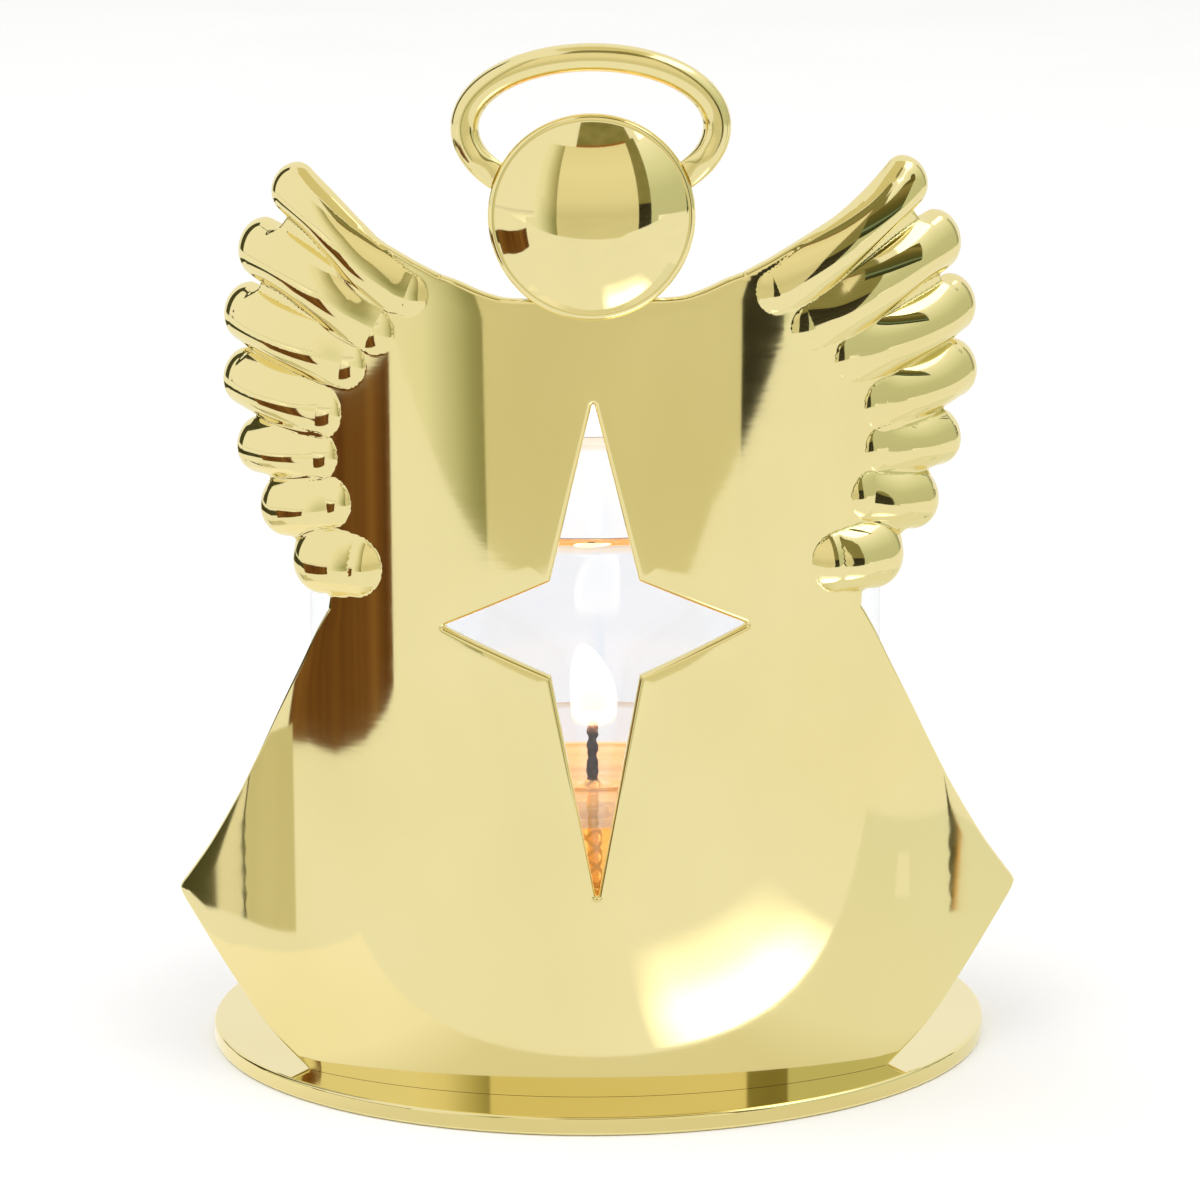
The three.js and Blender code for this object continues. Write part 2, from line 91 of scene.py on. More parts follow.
# the two wings differ a little: outward shift of each wing's pattern by height, full from s = 29 outwards
WING_TRIM = {
    "left": [[45.0, 0.0], [51.6, -0.5], [56.9, -1.1], [62.0, -1.05], [68.2, -1.5], [74.4, -1.6], [80.75, -1.75], [86.75, -1.25], [92.0, -1.25]],
    "right": [[45.0, 0.0], [51.6, 0.5], [56.9, 0.6], [62.0, 0.7], [68.2, 0.85], [74.4, 0.85], [80.75, 0.65], [86.75, 0.95], [92.0, 0.95]],
}
FEATHER_BASE = 0.8              # depth of the feathers' outlines below the sheet's face
VALLEY = 0.42                   # softness of the valleys between feathers
CREST = 0.22                    # how far each feather's crest lies towards its lower edge


# ---- the rolled sheet -----------------------------------------------------------------
def bent(p):
    """(s, d, z) on the flat sheet to x, y, z: s along the face, d into the sheet."""
    s, d, z = p[:, 0], p[:, 1], p[:, 2]
    a, sign = np.abs(s), np.where(s < 0, -1.0, 1.0)
    t, over = np.minimum(a, BEND_S) / PANEL_R, np.maximum(a - BEND_S, 0.0)
    x = (PANEL_R - d) * np.sin(t) + over * math.cos(BEND)
    y = PANEL_AXIS_Y - (PANEL_R - d) * np.cos(t) + over * math.sin(BEND)
    return np.stack([sign * x, y, z], 1)


def bent_normals(p, n):
    """Directions on the flat sheet, turned as the sheet turns."""
    s, d = p[:, 0], p[:, 1]
    t = np.sign(s) * np.minimum(np.abs(s), BEND_S) / PANEL_R
    k = np.where(np.abs(s) < BEND_S, 1.0 / (1.0 - d / PANEL_R), 1.0)
    ns, nd, nz = n[:, 0] * k, n[:, 1], n[:, 2]
    v = np.stack([ns * np.cos(t) - nd * np.sin(t), ns * np.sin(t) + nd * np.cos(t), nz], 1)
    return v / np.linalg.norm(v, axis=1, keepdims=True)


# ---- plane curves ---------------------------------------------------------------------
def smooth(points, step):
    """A smooth open curve through the points, about step apart."""
    P = np.array(points, float)
    E = np.vstack([2 * P[0] - P[1], P, 2 * P[-1] - P[-2]])
    out = []
    for i in range(1, len(E) - 2):
        p0, p1, p2, p3 = E[i - 1:i + 3]
        a, b, c = (np.sqrt(np.linalg.norm(q - p)) for p, q in ((p0, p1), (p1, p2), (p2, p3)))
        m1 = p2 - p1 + b * ((p1 - p0) / a - (p2 - p0) / (a + b))
        m2 = p2 - p1 + b * ((p3 - p2) / c - (p3 - p1) / (b + c))
        n = max(1, int(math.ceil(np.linalg.norm(p2 - p1) / step)))
        t = np.linspace(0, 1, n, endpoint=False)[:, None]
        out.append((2 * (p1 - p2) + m1 + m2) * t ** 3 + (-3 * (p1 - p2) - 2 * m1 - m2) * t ** 2 + m1 * t + p1)
    return np.vstack(out + [P[-1:]])


def straight(p, q, step):
    n = max(1, int(math.ceil(math.dist(p, q) / step)))
    return np.array(p) + (np.array(q) - np.array(p)) * np.linspace(0, 1, n + 1)[:, None]


def joined(*runs):
    """Runs of points end to end, with each shared end kept once."""
    out = [np.asarray(runs[0], float)]
    for r in runs[1:]:
        r = np.asarray(r, float)
        out.append(r[1:] if np.allclose(out[-1][-1], r[0]) else r)
    return np.vstack(out)


def filleted(poly, radius, step):
    """A closed polygon with its corners rounded."""
    P, out = [np.array(p, float) for p in poly], []
    for i, v in enumerate(P):
        a, b = P[i - 1] - v, P[(i + 1) % len(P)] - v
        a, b = a / np.linalg.norm(a), b / np.linalg.norm(b)
        half = math.acos(np.clip(a @ b, -1, 1)) / 2
        back = radius / math.tan(half)
        mid = (a + b) / np.linalg.norm(a + b)
        c = v + mid * radius / math.sin(half)
        p, q = v + a * back, v + b * back
        a0, a1 = math.atan2(*(p - c)[::-1]), math.atan2(*(q - c)[::-1])
        turn = (a1 - a0 + math.pi) % (2 * math.pi) - math.pi
        out.append(np.array([c + radius * np.array([math.cos(a0 + turn * k / 7), math.sin(a0 + turn * k / 7)]) for k in range(8)]))
    runs = []
    for i, arc_pts in enumerate(out):
        runs += [arc_pts, straight(arc_pts[-1], out[(i + 1) % len(out)][0], step)]
    return joined(*runs)[:-1]


def area(loop):
    x, y = loop[:, 0], loop[:, 1]
    return 0.5 * np.sum(x * np.roll(y, -1) - np.roll(x, -1) * y)


def segment_distance(q, a, b, reach=4.0):
    """Distance of each point to the nearest of the segments a-b, capped at reach."""
    out = np.full(len(q), reach)
    ab = b - a
    ll = np.maximum((ab ** 2).sum(1), 1e-12)
    lo, hi = np.minimum(a, b) - reach, np.maximum(a, b) + reach
    cell = np.floor(q / 5.0).astype(int)
    key = cell[:, 0] * 100003 + cell[:, 1]
    order = np.argsort(key, kind="stable")
    for k in np.split(order, np.where(np.diff(key[order]))[0] + 1):
        if not len(k):
            continue
        p = q[k]
        near = np.where(np.all((hi >= p.min(0)) & (lo <= p.max(0)), 1))[0]
        for i in range(0, len(k) if len(near) else 0, 3000):
            d = p[i:i + 3000, None] - a[near][None]
            t = np.clip((d * ab[near]).sum(2) / ll[near], 0, 1)
            dist = np.sqrt((((d - t[..., None] * ab[near]) ** 2).sum(2)).min(1))
            out[k[i:i + 3000]] = np.minimum(dist, reach)
    return out


def inside(q, loops):
    odd = np.zeros(len(q), bool)
    for loop in loops:
        for (x0, y0), (x1, y1) in zip(loop, np.roll(loop, -1, 0)):
            if y0 == y1:
                continue
            hit = (q[:, 1] > min(y0, y1)) & (q[:, 1] <= max(y0, y1))
            odd ^= hit & (q[:, 0] < x0 + (q[:, 1] - y0) * (x1 - x0) / (y1 - y0))
    return odd


# ---- sheet relief ---------------------------------------------------------------------
def edge_drop(c):
    """How far the face lies back at distance c from an edge: a round edge and a faint roll-off."""
    c = np.asarray(c, float)
    near = np.clip(c, 0.0, EDGE)
    drop = EDGE - np.sqrt(np.maximum(EDGE ** 2 - (EDGE - near) ** 2, 0.0))
    roll = ROLL * np.clip(1.0 - c / ROLL_W, 0.0, 1.0) ** 2
    return np.where(c < 0, EDGE + ROLL - c * 8.0, drop + roll)


def ridge(feather):
    line, width, high = (np.array(v, float) for v in feather)
    pts = smooth(line, 0.16)
    run = np.concatenate([[0.0], np.cumsum(np.linalg.norm(np.diff(pts, axis=0), axis=1))])
    knots = run[[int(((pts - p) ** 2).sum(1).argmin()) for p in line]]
    return pts, eased(run, knots, width), eased(run, knots, high)


def eased(run, knots, values, reach=1.5):
    """Values at knots along a run, joined by straight lines and rounded off over the reach."""
    at = np.arange(-3 * reach, run[-1] + 3 * reach, 0.05)
    inner = np.interp(at, knots, values)
    inner = np.where(at < 0, 2 * values[0] - np.interp(-at, knots, values), inner)
    inner = np.where(at > run[-1], 2 * values[-1] - np.interp(2 * run[-1] - at, knots, values), inner)
    w = np.exp(-0.5 * (np.arange(-3 * reach, 3 * reach + 0.01, 0.05) / reach) ** 2)
    return np.interp(run, at, np.convolve(inner, w / w.sum(), "same"))


def trimmed(side, points):
    P, t = np.array(points, float), np.array(WING_TRIM[side])
    f = np.clip((P[:, 0] - 20.0) / 9.0, 0.0, 1.0)
    P[:, 0] += np.interp(P[:, 1], t[:, 0], t[:, 1]) * f * f * (3 - 2 * f)
    return P


class Relief:
    """The front of one wing as depth below the sheet's face, over the flat pattern."""

    def __init__(self, side):
        self.ridges = [ridge((trimmed(side, line), w, h)) for line, w, h in FEATHERS]
        outer = [list(p) for p in trimmed(side, WING_CORE)]
        top = [list(p) for p in trimmed(side, SHOULDER_OUT)]
        self.core = np.array(outer + [[27.05, 47.3], [28.45, 45.2], [30.49, 41.75], [10.0, 41.75], [10.0, 78.3]]
                             + [list(p) for p in SHOULDER_IN[1::-1]] + [[14.5, 79.85]] + top, float)

    def core_depth(self, q):
        d = segment_distance(q, self.core, np.roll(self.core, -1, 0))
        return np.where(inside(q, [self.core]), d, -d)

    def feathers(self, q):
        """For each point: how far inside the nearest feather, and each feather's own surface."""
        grip = np.full(len(q), -9.0)
        faces = []
        for pts, ww, hh in self.ridges:
            m = ww.max() + 0.8
            lo, hi = pts.min(0) - m, pts.max(0) + m
            pick = np.where(np.all((q > lo) & (q < hi), 1))[0]
            depth = np.full(len(q), 60.0)
            tan = np.gradient(pts, axis=0)
            tan /= np.linalg.norm(tan, axis=1, keepdims=True)
            low = np.stack([-tan[:, 1], tan[:, 0]], 1)
            a, ab = pts[:-1], pts[1:] - pts[:-1]
            ll = np.maximum((ab ** 2).sum(1), 1e-12)
            for i in range(0, len(pick), 4000):
                k = pick[i:i + 4000]
                d = q[k, None] - a[None]
                t = np.clip((d * ab).sum(2) / ll, 0, 1)
                dist = ((d - t[..., None] * ab) ** 2).sum(2)
                j = dist.argmin(1)
                r = np.arange(len(k))
                u, e, step = t[r, j], d[r, j], ab[j]
                lead, swing = tan[j], tan[j + 1] - tan[j]
                for _ in range(3):
                    gap, way = e - u[:, None] * step, lead + u[:, None] * swing
                    u = u + (gap * way).sum(1) / np.maximum((step * way).sum(1) - (gap * swing).sum(1), 1e-4)
                    u = np.clip(u, np.where(j == 0, 0.0, -0.7), np.where(j == len(ab) - 1, 1.0, 1.7))
                rho = np.linalg.norm(e - u[:, None] * step, axis=1)
                w = ww[j] + (ww[j + 1] - ww[j]) * u
                h = hh[j] + (hh[j + 1] - hh[j]) * u
                crest = (low[j] + (low[j + 1] - low[j]) * u[:, None]) * (CREST * w)[:, None]
                off = d[r, j] - u[:, None] * ab[j] - crest
                mv, vv, mm = (crest * off).sum(1), (off ** 2).sum(1), (crest ** 2).sum(1)
                x = vv / np.maximum(np.sqrt(np.maximum(mv ** 2 + vv * (w ** 2 - mm), 0.0)) - mv, 1e-9)
                grip[k] = np.maximum(grip[k], w - rho)
                rise = np.sqrt(np.maximum(1.0 - x ** 2, 0.0))
                depth[k] = np.where(rho < w, FEATHER_BASE - (FEATHER_BASE + h) * rise, FEATHER_BASE + (rho - w) * 8.0)
            faces.append(depth)
        return grip, faces

    def layers(self, q):
        return np.stack(self.feathers(q)[1] + [edge_drop(self.core_depth(q))])

    def front(self, q):
        stack = self.layers(q)
        low = stack.min(0)
        soft = low - VALLEY * np.log(np.exp(-np.clip((stack - low) / VALLEY, 0, 60)).sum(0))
        g = np.clip(segment_distance(q, SEAM_LINE[:-1], SEAM_LINE[1:]) / 1.6, 0.0, 1.0)
        g = g * g * (3.0 - 2.0 * g)
        return stack[-1] + (soft - stack[-1]) * g

    def creases(self, q):
        """Points close to where two surfaces meet."""
        stack = np.sort(self.layers(q), 0)
        return (stack[1] - stack[0] < 0.6) & (stack[0] < 1.2)


def slope(field, q, e=0.012):
    ex, ez = np.array([e, 0.0]), np.array([0.0, e])
    return (field(q + ex) - field(q - ex)) / (2 * e), (field(q + ez) - field(q - ez)) / (2 * e)


# ---- meshes ---------------------------------------------------------------------------
def as_piece(name, verts, faces, loops_n, mat, body, nodes=()):
    me = bpy.data.meshes.new(name)
    me.from_pydata((np.asarray(verts) * MM).tolist(), [], [tuple(int(i) for i in f) for f in faces])
    me.polygons.foreach_set("use_smooth", [True] * len(me.polygons))
    if loops_n is not None:
        me.normals_split_custom_set([tuple(n) for n in np.asarray(loops_n, float)])
    me.update()
    ob = bpy.data.objects.new(name, me)
    bpy.context.scene.collection.objects.link(ob)
    me.materials.append(mat)
    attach(ob, body)
    if nodes:
        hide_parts(*nodes)
    return ob


def sheet_mesh(loops, grid, rings, dense=None):
    """A closed sheet between two reliefs over a flat outline: vertices on the flat, triangles, normals."""
    if area(loops[0]) < 0:
        loops[0] = loops[0][::-1]
    for i in range(1, len(loops)):
        if area(loops[i]) > 0:
            loops[i] = loops[i][::-1]
    a = np.vstack(loops)
    b = np.vstack([np.roll(l, -1, 0) for l in loops])
    extra = []
    for l in loops:
        t = np.roll(l, -1, 0) - np.roll(l, 1, 0)
        n = np.stack([t[:, 1], -t[:, 0]], 1)
        n /= np.maximum(np.linalg.norm(n, axis=1, keepdims=True), 1e-9)
        for d in rings:
            q = l - n * d
            extra.append(q[(segment_distance(q, a, b) > 0.93 * d) & inside(q, loops)])
    lo, hi = loops[0].min(0), loops[0].max(0)
    gs, gz = np.meshgrid(np.arange(lo[0], hi[0], grid), np.arange(lo[1], hi[1], grid * 0.866), indexing="ij")
    gs = gs + (np.arange(gs.shape[1]) % 2)[None] * grid / 2
    q = np.stack([gs.ravel(), gz.ravel()], 1)
    q = q[inside(q, loops)]
    clear_of = segment_distance(q, a, b) > rings[-1] + 0.35 * grid
    if dense is not None:
        clear_of &= ~dense(q)
        fine = grid / 3.0
        gs, gz = np.meshgrid(np.arange(lo[0], hi[0], fine), np.arange(lo[1], hi[1], fine * 0.866), indexing="ij")
        gs = gs + (np.arange(gs.shape[1]) % 2)[None] * fine / 2
        f = np.stack([gs.ravel(), gz.ravel()], 1)
        f = f[inside(f, loops)]
        f = f[dense(f)]
        extra.append(f[segment_distance(f, a, b) > rings[-1] + 0.35 * fine])
    extra.append(q[clear_of])
    pts = np.vstack([a] + extra)
    edges, k = [], 0
    for l in loops:
        edges += [(k + i, k + (i + 1) % len(l)) for i in range(len(l))]
        k += len(l)
    v, _, tri, origin, _, _ = delaunay_2d_cdt([Vector(p) for p in pts], edges, [], 0, 1e-5)
    v = np.array([tuple(p) for p in v])
    tri = np.array(tri)
    tri = tri[inside(v[tri].mean(1), loops)]
    e1, e2 = v[tri[:, 1]] - v[tri[:, 0]], v[tri[:, 2]] - v[tri[:, 0]]
    ar = e1[:, 0] * e2[:, 1] - e1[:, 1] * e2[:, 0]
    tri[ar < 0] = tri[ar < 0][:, ::-1]
    tri = tri[np.abs(ar) > 1e-9]
    place = {}
    for j, src in enumerate(origin):
        for i in src:
            place[i] = j
    border, k = [], 0
    for l in loops:
        border.append([place[k + i] for i in range(len(l))])
        k += len(l)
    used = np.unique(np.concatenate([tri.ravel()] + [np.array(x) for x in border]))
    back_of = {int(old): i for i, old in enumerate(used)}
    v = v[used]
    tri = np.array([[back_of[int(i)] for i in t] for t in tri])
    border = [[back_of[i] for i in x] for x in border]
    return v, tri, border


def sheet_piece(name, v, tri, border, front, back, seam, mat, body, nodes, given=None, mirror=False):
    n = len(v)
    df, db = front(v), back(v)
    fs, fz = slope(front, v)
    bs, bz = slope(back, v)
    if given is not None:
        for i, d, gs, gz in given:
            df[i], fs[i], fz[i] = d, gs, gz
    nf = np.stack([fs, -np.ones(n), fz], 1)
    nb = np.stack([-bs, np.ones(n), -bz], 1)
    nf /= np.linalg.norm(nf, axis=1, keepdims=True)
    nb /= np.linalg.norm(nb, axis=1, keepdims=True)
    flat = np.vstack([np.stack([v[:, 0], df, v[:, 1]], 1), np.stack([v[:, 0], db, v[:, 1]], 1)])
    nrm = np.vstack([nf, nb])
    faces = [tuple(t) for t in tri] + [tuple(t[::-1] + n) for t in tri]
    loops_n = [nrm[i] for t in tri for i in t] + [nrm[i + n] for t in tri for i in t[::-1]]
    loops_p = [i for t in tri for i in t] + [i + n for t in tri for i in t[::-1]]
    for ring in border:
        m = len(ring)
        p = v[ring]
        for i in range(m):
            j = (i + 1) % m
            t = p[j] - p[i]
            out = np.array([t[1], 0.0, -t[0]]) / max(np.linalg.norm(t), 1e-9)
            if (ring[i], ring[j]) in seam:
                ni = nj = out
            else:
                ti, tj = p[j] - p[i - 1], p[(j + 1) % m] - p[i]
                ni = np.array([ti[1], 0.0, -ti[0]]) / max(np.linalg.norm(ti), 1e-9)
                nj = np.array([tj[1], 0.0, -tj[0]]) / max(np.linalg.norm(tj), 1e-9)
                if ni @ out < 0.75:
                    ni = out
                if nj @ out < 0.75:
                    nj = out
            faces.append((ring[i], ring[i] + n, ring[j] + n, ring[j]))
            loops_n += [ni, ni, nj, nj]
            loops_p += [ring[i], ring[i] + n, ring[j] + n, ring[j]]
    xyz = bent(flat)
    nn = bent_normals(flat[loops_p], np.array(loops_n))
    if mirror:
        xyz = xyz * [-1, 1, 1]
        out_f, out_n, k = [], [], 0
        for f in faces:
            out_f.append(tuple(f[::-1]))
            out_n += [nn[k + i] * [-1, 1, 1] for i in range(len(f))][::-1]
            k += len(f)
        faces, nn = out_f, np.array(out_n)
    return as_piece(name, xyz, faces, nn, mat, body, nodes)


def line_run(p, q, n=1):
    """A straight run of a turned profile: (r, z, normal r, normal z)."""
    d = math.dist(p, q)
    nr, nz = (q[1] - p[1]) / d, -(q[0] - p[0]) / d
    return [(p[0] + (q[0] - p[0]) * k / n, p[1] + (q[1] - p[1]) * k / n, nr, nz) for k in range(n + 1)]


def arc_run(c, rad, a0, a1, n):
    s = 1.0 if a1 > a0 else -1.0
    out = []
    for k in range(n + 1):
        a = math.radians(a0 + (a1 - a0) * k / n)
        out.append((c[0] + rad * math.cos(a), c[1] + rad * math.sin(a), s * math.cos(a), s * math.sin(a)))
    return out


def curve_run(points, step):
    """A smooth run through points, with the normals of the curve itself."""
    p = smooth(points, step)
    t = np.gradient(p, axis=0)
    t /= np.linalg.norm(t, axis=1, keepdims=True)
    return [(a[0], a[1], b[1], -b[0]) for a, b in zip(p, t)]


def turned(runs, segments, axis=(0.0, 0.0)):
    """A turned solid about an upright axis: vertices, faces, loop normals."""
    ring_of, verts, faces, loops_n = {}, [], [], []
    ang = np.linspace(0, 2 * math.pi, segments, endpoint=False)
    cs, sn = np.cos(ang), np.sin(ang)

    def ring(r, z):
        key = (round(r, 5), round(z, 5))
        if key not in ring_of:
            ring_of[key] = len(verts), r < 1e-6
            if r < 1e-6:
                verts.append((axis[0], axis[1], z))
            else:
                verts.extend((axis[0] + r * cs[i], axis[1] + r * sn[i], z) for i in range(segments))
        return ring_of[key]

    for run in runs:
        for (r0, z0, a0, b0), (r1, z1, a1, b1) in zip(run[:-1], run[1:]):
            if abs(r0 - r1) < 1e-7 and abs(z0 - z1) < 1e-7:
                continue
            (i0, pole0), (i1, pole1) = ring(r0, z0), ring(r1, z1)
            for k in range(segments):
                m = (k + 1) % segments
                n00, n01 = (a0 * cs[k], a0 * sn[k], b0), (a0 * cs[m], a0 * sn[m], b0)
                n10, n11 = (a1 * cs[k], a1 * sn[k], b1), (a1 * cs[m], a1 * sn[m], b1)
                if pole0:
                    faces.append((i0, i1 + m, i1 + k))
                    loops_n += [(0, 0, b0), n11, n10]
                elif pole1:
                    faces.append((i0 + k, i0 + m, i1))
                    loops_n += [n00, n01, (0, 0, b1)]
                else:
                    faces.append((i0 + k, i0 + m, i1 + m, i1 + k))
                    loops_n += [n00, n01, n11, n10]
    return np.array(verts), faces, np.array(loops_n)


def swept(path, radius, segments, up, caps=True):
    """A round bar along a path; radius(i, angle) may vary. Vertices, faces; ends closed by rounding."""
    P = np.array(path, float)
    T = np.gradient(P, axis=0)
    T /= np.linalg.norm(T, axis=1, keepdims=True)
    U = np.array([up(i) for i in range(len(P))], float)
    U -= (U * T).sum(1, keepdims=True) * T
    U /= np.linalg.norm(U, axis=1, keepdims=True)
    V = np.cross(T, U)
    ang = np.linspace(0, 2 * math.pi, segments, endpoint=False)
    verts, rings = [], []

    def ring(i, scale, along):
        rings.append(len(verts))
        for a in ang:
            r = radius(i, a) * scale
            verts.append(P[i] + T[i] * along + r * (math.cos(a) * U[i] + math.sin(a) * V[i]))

    n = len(P)
    r0, r1 = radius(0, 0.0), radius(n - 1, 0.0)
    if caps:
        for k in (5, 4, 3, 2, 1):
            f = math.radians(90 * k / 5.6)
            ring(0, math.cos(f), -r0 * 0.55 * math.sin(f))
    for i in range(n):
        ring(i, 1.0, 0.0)
    if caps:
        for k in (1, 2, 3, 4, 5):
            f = math.radians(90 * k / 5.6)
            ring(n - 1, math.cos(f), r1 * 0.55 * math.sin(f))
    faces = []
    for a, b in zip(rings[:-1], rings[1:]):
        for k in range(segments):
            m = (k + 1) % segments
            faces.append((a + k, a + m, b + m, b + k))
    s, e = len(verts), len(verts) + 1
    verts.append(P[0] - T[0] * r0 * (0.55 if caps else 0.0))
    verts.append(P[-1] + T[-1] * r1 * (0.55 if caps else 0.0))
    for k in range(segments):
        m = (k + 1) % segments
        faces.append((s, rings[0] + m, rings[0] + k))
        faces.append((e, rings[-1] + k, rings[-1] + m))
    return np.array(verts), faces


# ---- materials ------------------------------------------------------------------------
class Nodes:
    def __init__(self, name):
        self.mat = bpy.data.materials.new(name)
        self.mat.use_nodes = True
        self.tree = self.mat.node_tree
        self.tree.nodes.clear()
        self.out = self.tree.nodes.new("ShaderNodeOutputMaterial")

    def add(self, kind, props=None, **sockets):
        n = self.tree.nodes.new(kind)
        for k, v in (props or {}).items():
            setattr(n, k, v)
        for k, v in sockets.items():
            self.set(n, k.replace("_", " "), v)
        return n

    def set(self, n, socket, v):
        if isinstance(v, bpy.types.NodeSocket):
            self.tree.links.new(v, n.inputs[socket])
        else:
            n.inputs[socket].default_value = v

    def place(self, scale):
        tc = self.add("ShaderNodeTexCoord")
        return self.add("ShaderNodeMapping", Vector=tc.outputs["Object"], Scale=scale).outputs["Vector"]

    def noise(self, scale, stretch=(1, 1, 1), detail=3.0, rough=0.55, distort=0.0):
        return self.add("ShaderNodeTexNoise", Vector=self.place(stretch), Scale=scale, Detail=detail, Roughness=rough,
                        Distortion=distort).outputs["Fac"]

    def ramp(self, fac, stops):
        n = self.add("ShaderNodeValToRGB")
        self.tree.links.new(fac, n.inputs["Fac"])
        el = n.color_ramp.elements
        while len(el) < len(stops):
            el.new(0.5)
        for e, (pos, col) in zip(el, stops):
            e.position = pos
            e.color = (*col, 1.0) if len(col) == 3 else col
        return n.outputs["Color"]

    def spread(self, fac, lo, hi):
        return self.add("ShaderNodeMapRange", Value=fac, To_Min=lo, To_Max=hi).outputs["Result"]

    def bump(self, fac, distance, strength=1.0, normal=None):
        n = self.add("ShaderNodeBump", Height=fac, Distance=distance, Strength=strength)
        if normal is not None:
            self.tree.links.new(normal, n.inputs["Normal"])
        return n.outputs["Normal"]

    def principled(self, **sockets):
        n = self.add("ShaderNodeBsdfPrincipled", **sockets)
        self.tree.links.new(n.outputs["BSDF"], self.out.inputs["Surface"])
        return self.mat


def gold(name, streak, smooth_to=0.030, rough_to=0.075):
    """Polished pale gold plate with faint rolling streaks along the sheet and softly varying gloss."""
    m = Nodes(name)
    tone = m.ramp(m.noise(42.0, detail=2.0), [(0.30, (0.850, 0.735, 0.350)), (0.72, (0.882, 0.772, 0.395))])
    gloss = m.spread(m.noise(260.0, (1, 1, 2.2)), smooth_to, rough_to)
    fine = m.bump(m.noise(1.0, (130, 130, 1500), detail=2.0), streak)
    wavy = m.bump(m.noise(95.0, (1, 1, 1.6), detail=1.0), 1.2e-6, normal=fine)
    return m.principled(Base_Color=tone, Metallic=1.0, Roughness=gloss, Normal=wavy)


GOLD_SHEET = gold("gold_sheet", 7.0e-7)
GOLD_CAST = gold("gold_cast", 2.5e-7)
GOLD_BAR = gold("gold_bar", 2.5e-7, 0.095, 0.15)
GOLD_DISC = gold("gold_disc", 2.5e-7)


def steel():
    m = Nodes("screw_steel")
    tone = m.ramp(m.noise(900.0), [(0.3, (0.42, 0.41, 0.39)), (0.75, (0.62, 0.61, 0.58))])
    return m.principled(Base_Color=tone, Metallic=1.0, Roughness=m.spread(m.noise(1400.0), 0.22, 0.42),
                        Normal=m.bump(m.noise(2500.0), 4.0e-6))


def tin():
    m = Nodes("wick_foot_tin")
    tone = m.ramp(m.noise(700.0), [(0.3, (0.50, 0.50, 0.49)), (0.75, (0.70, 0.69, 0.67))])
    return m.principled(Base_Color=tone, Metallic=1.0, Roughness=m.spread(m.noise(1200.0), 0.25, 0.45),
                        Normal=m.bump(m.noise(2000.0), 5.0e-6))


def clear(name, ior, lo, hi, wave, lip_z, lip_glow_tone):
    """Clear glass or plastic, with a painted warm glow in its lip that stands in for the flame's light it gathers
    there.
    """
    m = Nodes(name)
    tc = m.add("ShaderNodeTexCoord")
    z = m.add("ShaderNodeSeparateXYZ", Vector=tc.outputs["Object"]).outputs["Z"]
    # painted light: the lip band is tinted warm to stand for the flame's light caught in the rim
    lip_glow_mask = m.add("ShaderNodeMapRange", Value=z, From_Min=(lip_z - 0.25) * MM, From_Max=(lip_z + 0.1) * MM).outputs["Result"]
    body = m.ramp(m.noise(60.0, detail=1.0), [(0.25, lo), (0.75, hi)])
    lip_glow_paint = m.ramp(m.noise(90.0, (1, 1, 3), detail=1.0), [(0.3, tuple(c * 0.96 for c in lip_glow_tone)), (0.7, lip_glow_tone)])
    both = m.add("ShaderNodeMix", {"data_type": "RGBA"})
    m.tree.links.new(lip_glow_mask, both.inputs["Factor"])
    m.tree.links.new(body, [s for s in both.inputs if s.name == "A" and s.type == "RGBA"][0])
    m.tree.links.new(lip_glow_paint, [s for s in both.inputs if s.name == "B" and s.type == "RGBA"][0])
    tone = [s for s in both.outputs if s.type == "RGBA"][0]
    return m.principled(Base_Color=tone, Roughness=m.spread(m.noise(300.0), 0.0, 0.018), IOR=ior, Transmission_Weight=1.0,
                        Normal=m.bump(m.noise(70.0, (1, 1, 0.5), detail=1.0), wave))


# the last two values give the height and colour of each cup's painted lip glow
GLASS = clear("cup_glass", 1.47, (0.889, 0.905, 0.936), (0.904, 0.919, 0.949), 6.0e-6, 53.0, (0.99, 0.74, 0.50))
PLASTIC = clear("clear_cup_plastic", 1.40, (0.985, 0.98, 0.97), (0.995, 0.99, 0.985), 4.0e-6, 27.95, (0.90, 0.72, 0.58))


def wax():
    """Clear molten wax: light takes on the amber as it passes through it, and an emission paints the glow that the
    flame's light gives it.
    """
    m = Nodes("amber_wax")
    tone = m.ramp(m.noise(120.0, (0.35, 1, 2.5), detail=3.0), [(0.28, (0.96, 0.82, 0.60)), (0.8, (1.0, 0.92, 0.78))])
    # painted light: this emission paints the flame's light glowing in the wax
    glow = m.ramp(m.noise(260.0, (0.12, 1, 1), detail=2.0), [(0.35, (0.34, 0.125, 0.022)), (0.52, (0.40, 0.185, 0.050)), (0.70, (0.46, 0.25, 0.10))])
    n = m.principled(Base_Color=tone, Roughness=m.spread(m.noise(400.0), 0.01, 0.05), IOR=1.43, Transmission_Weight=0.9,
                     Specular_Tint=(1.0, 0.66, 0.40, 1.0), Emission_Color=glow, Emission_Strength=0.85,
                     Normal=m.bump(m.noise(150.0, (0.3, 1, 1)), 3.0e-5))
    v = m.add("ShaderNodeVolumeAbsorption", Color=(0.90, 0.72, 0.08, 1.0), Density=50.0)
    m.tree.links.new(v.outputs[0], m.out.inputs["Volume"])
    return n


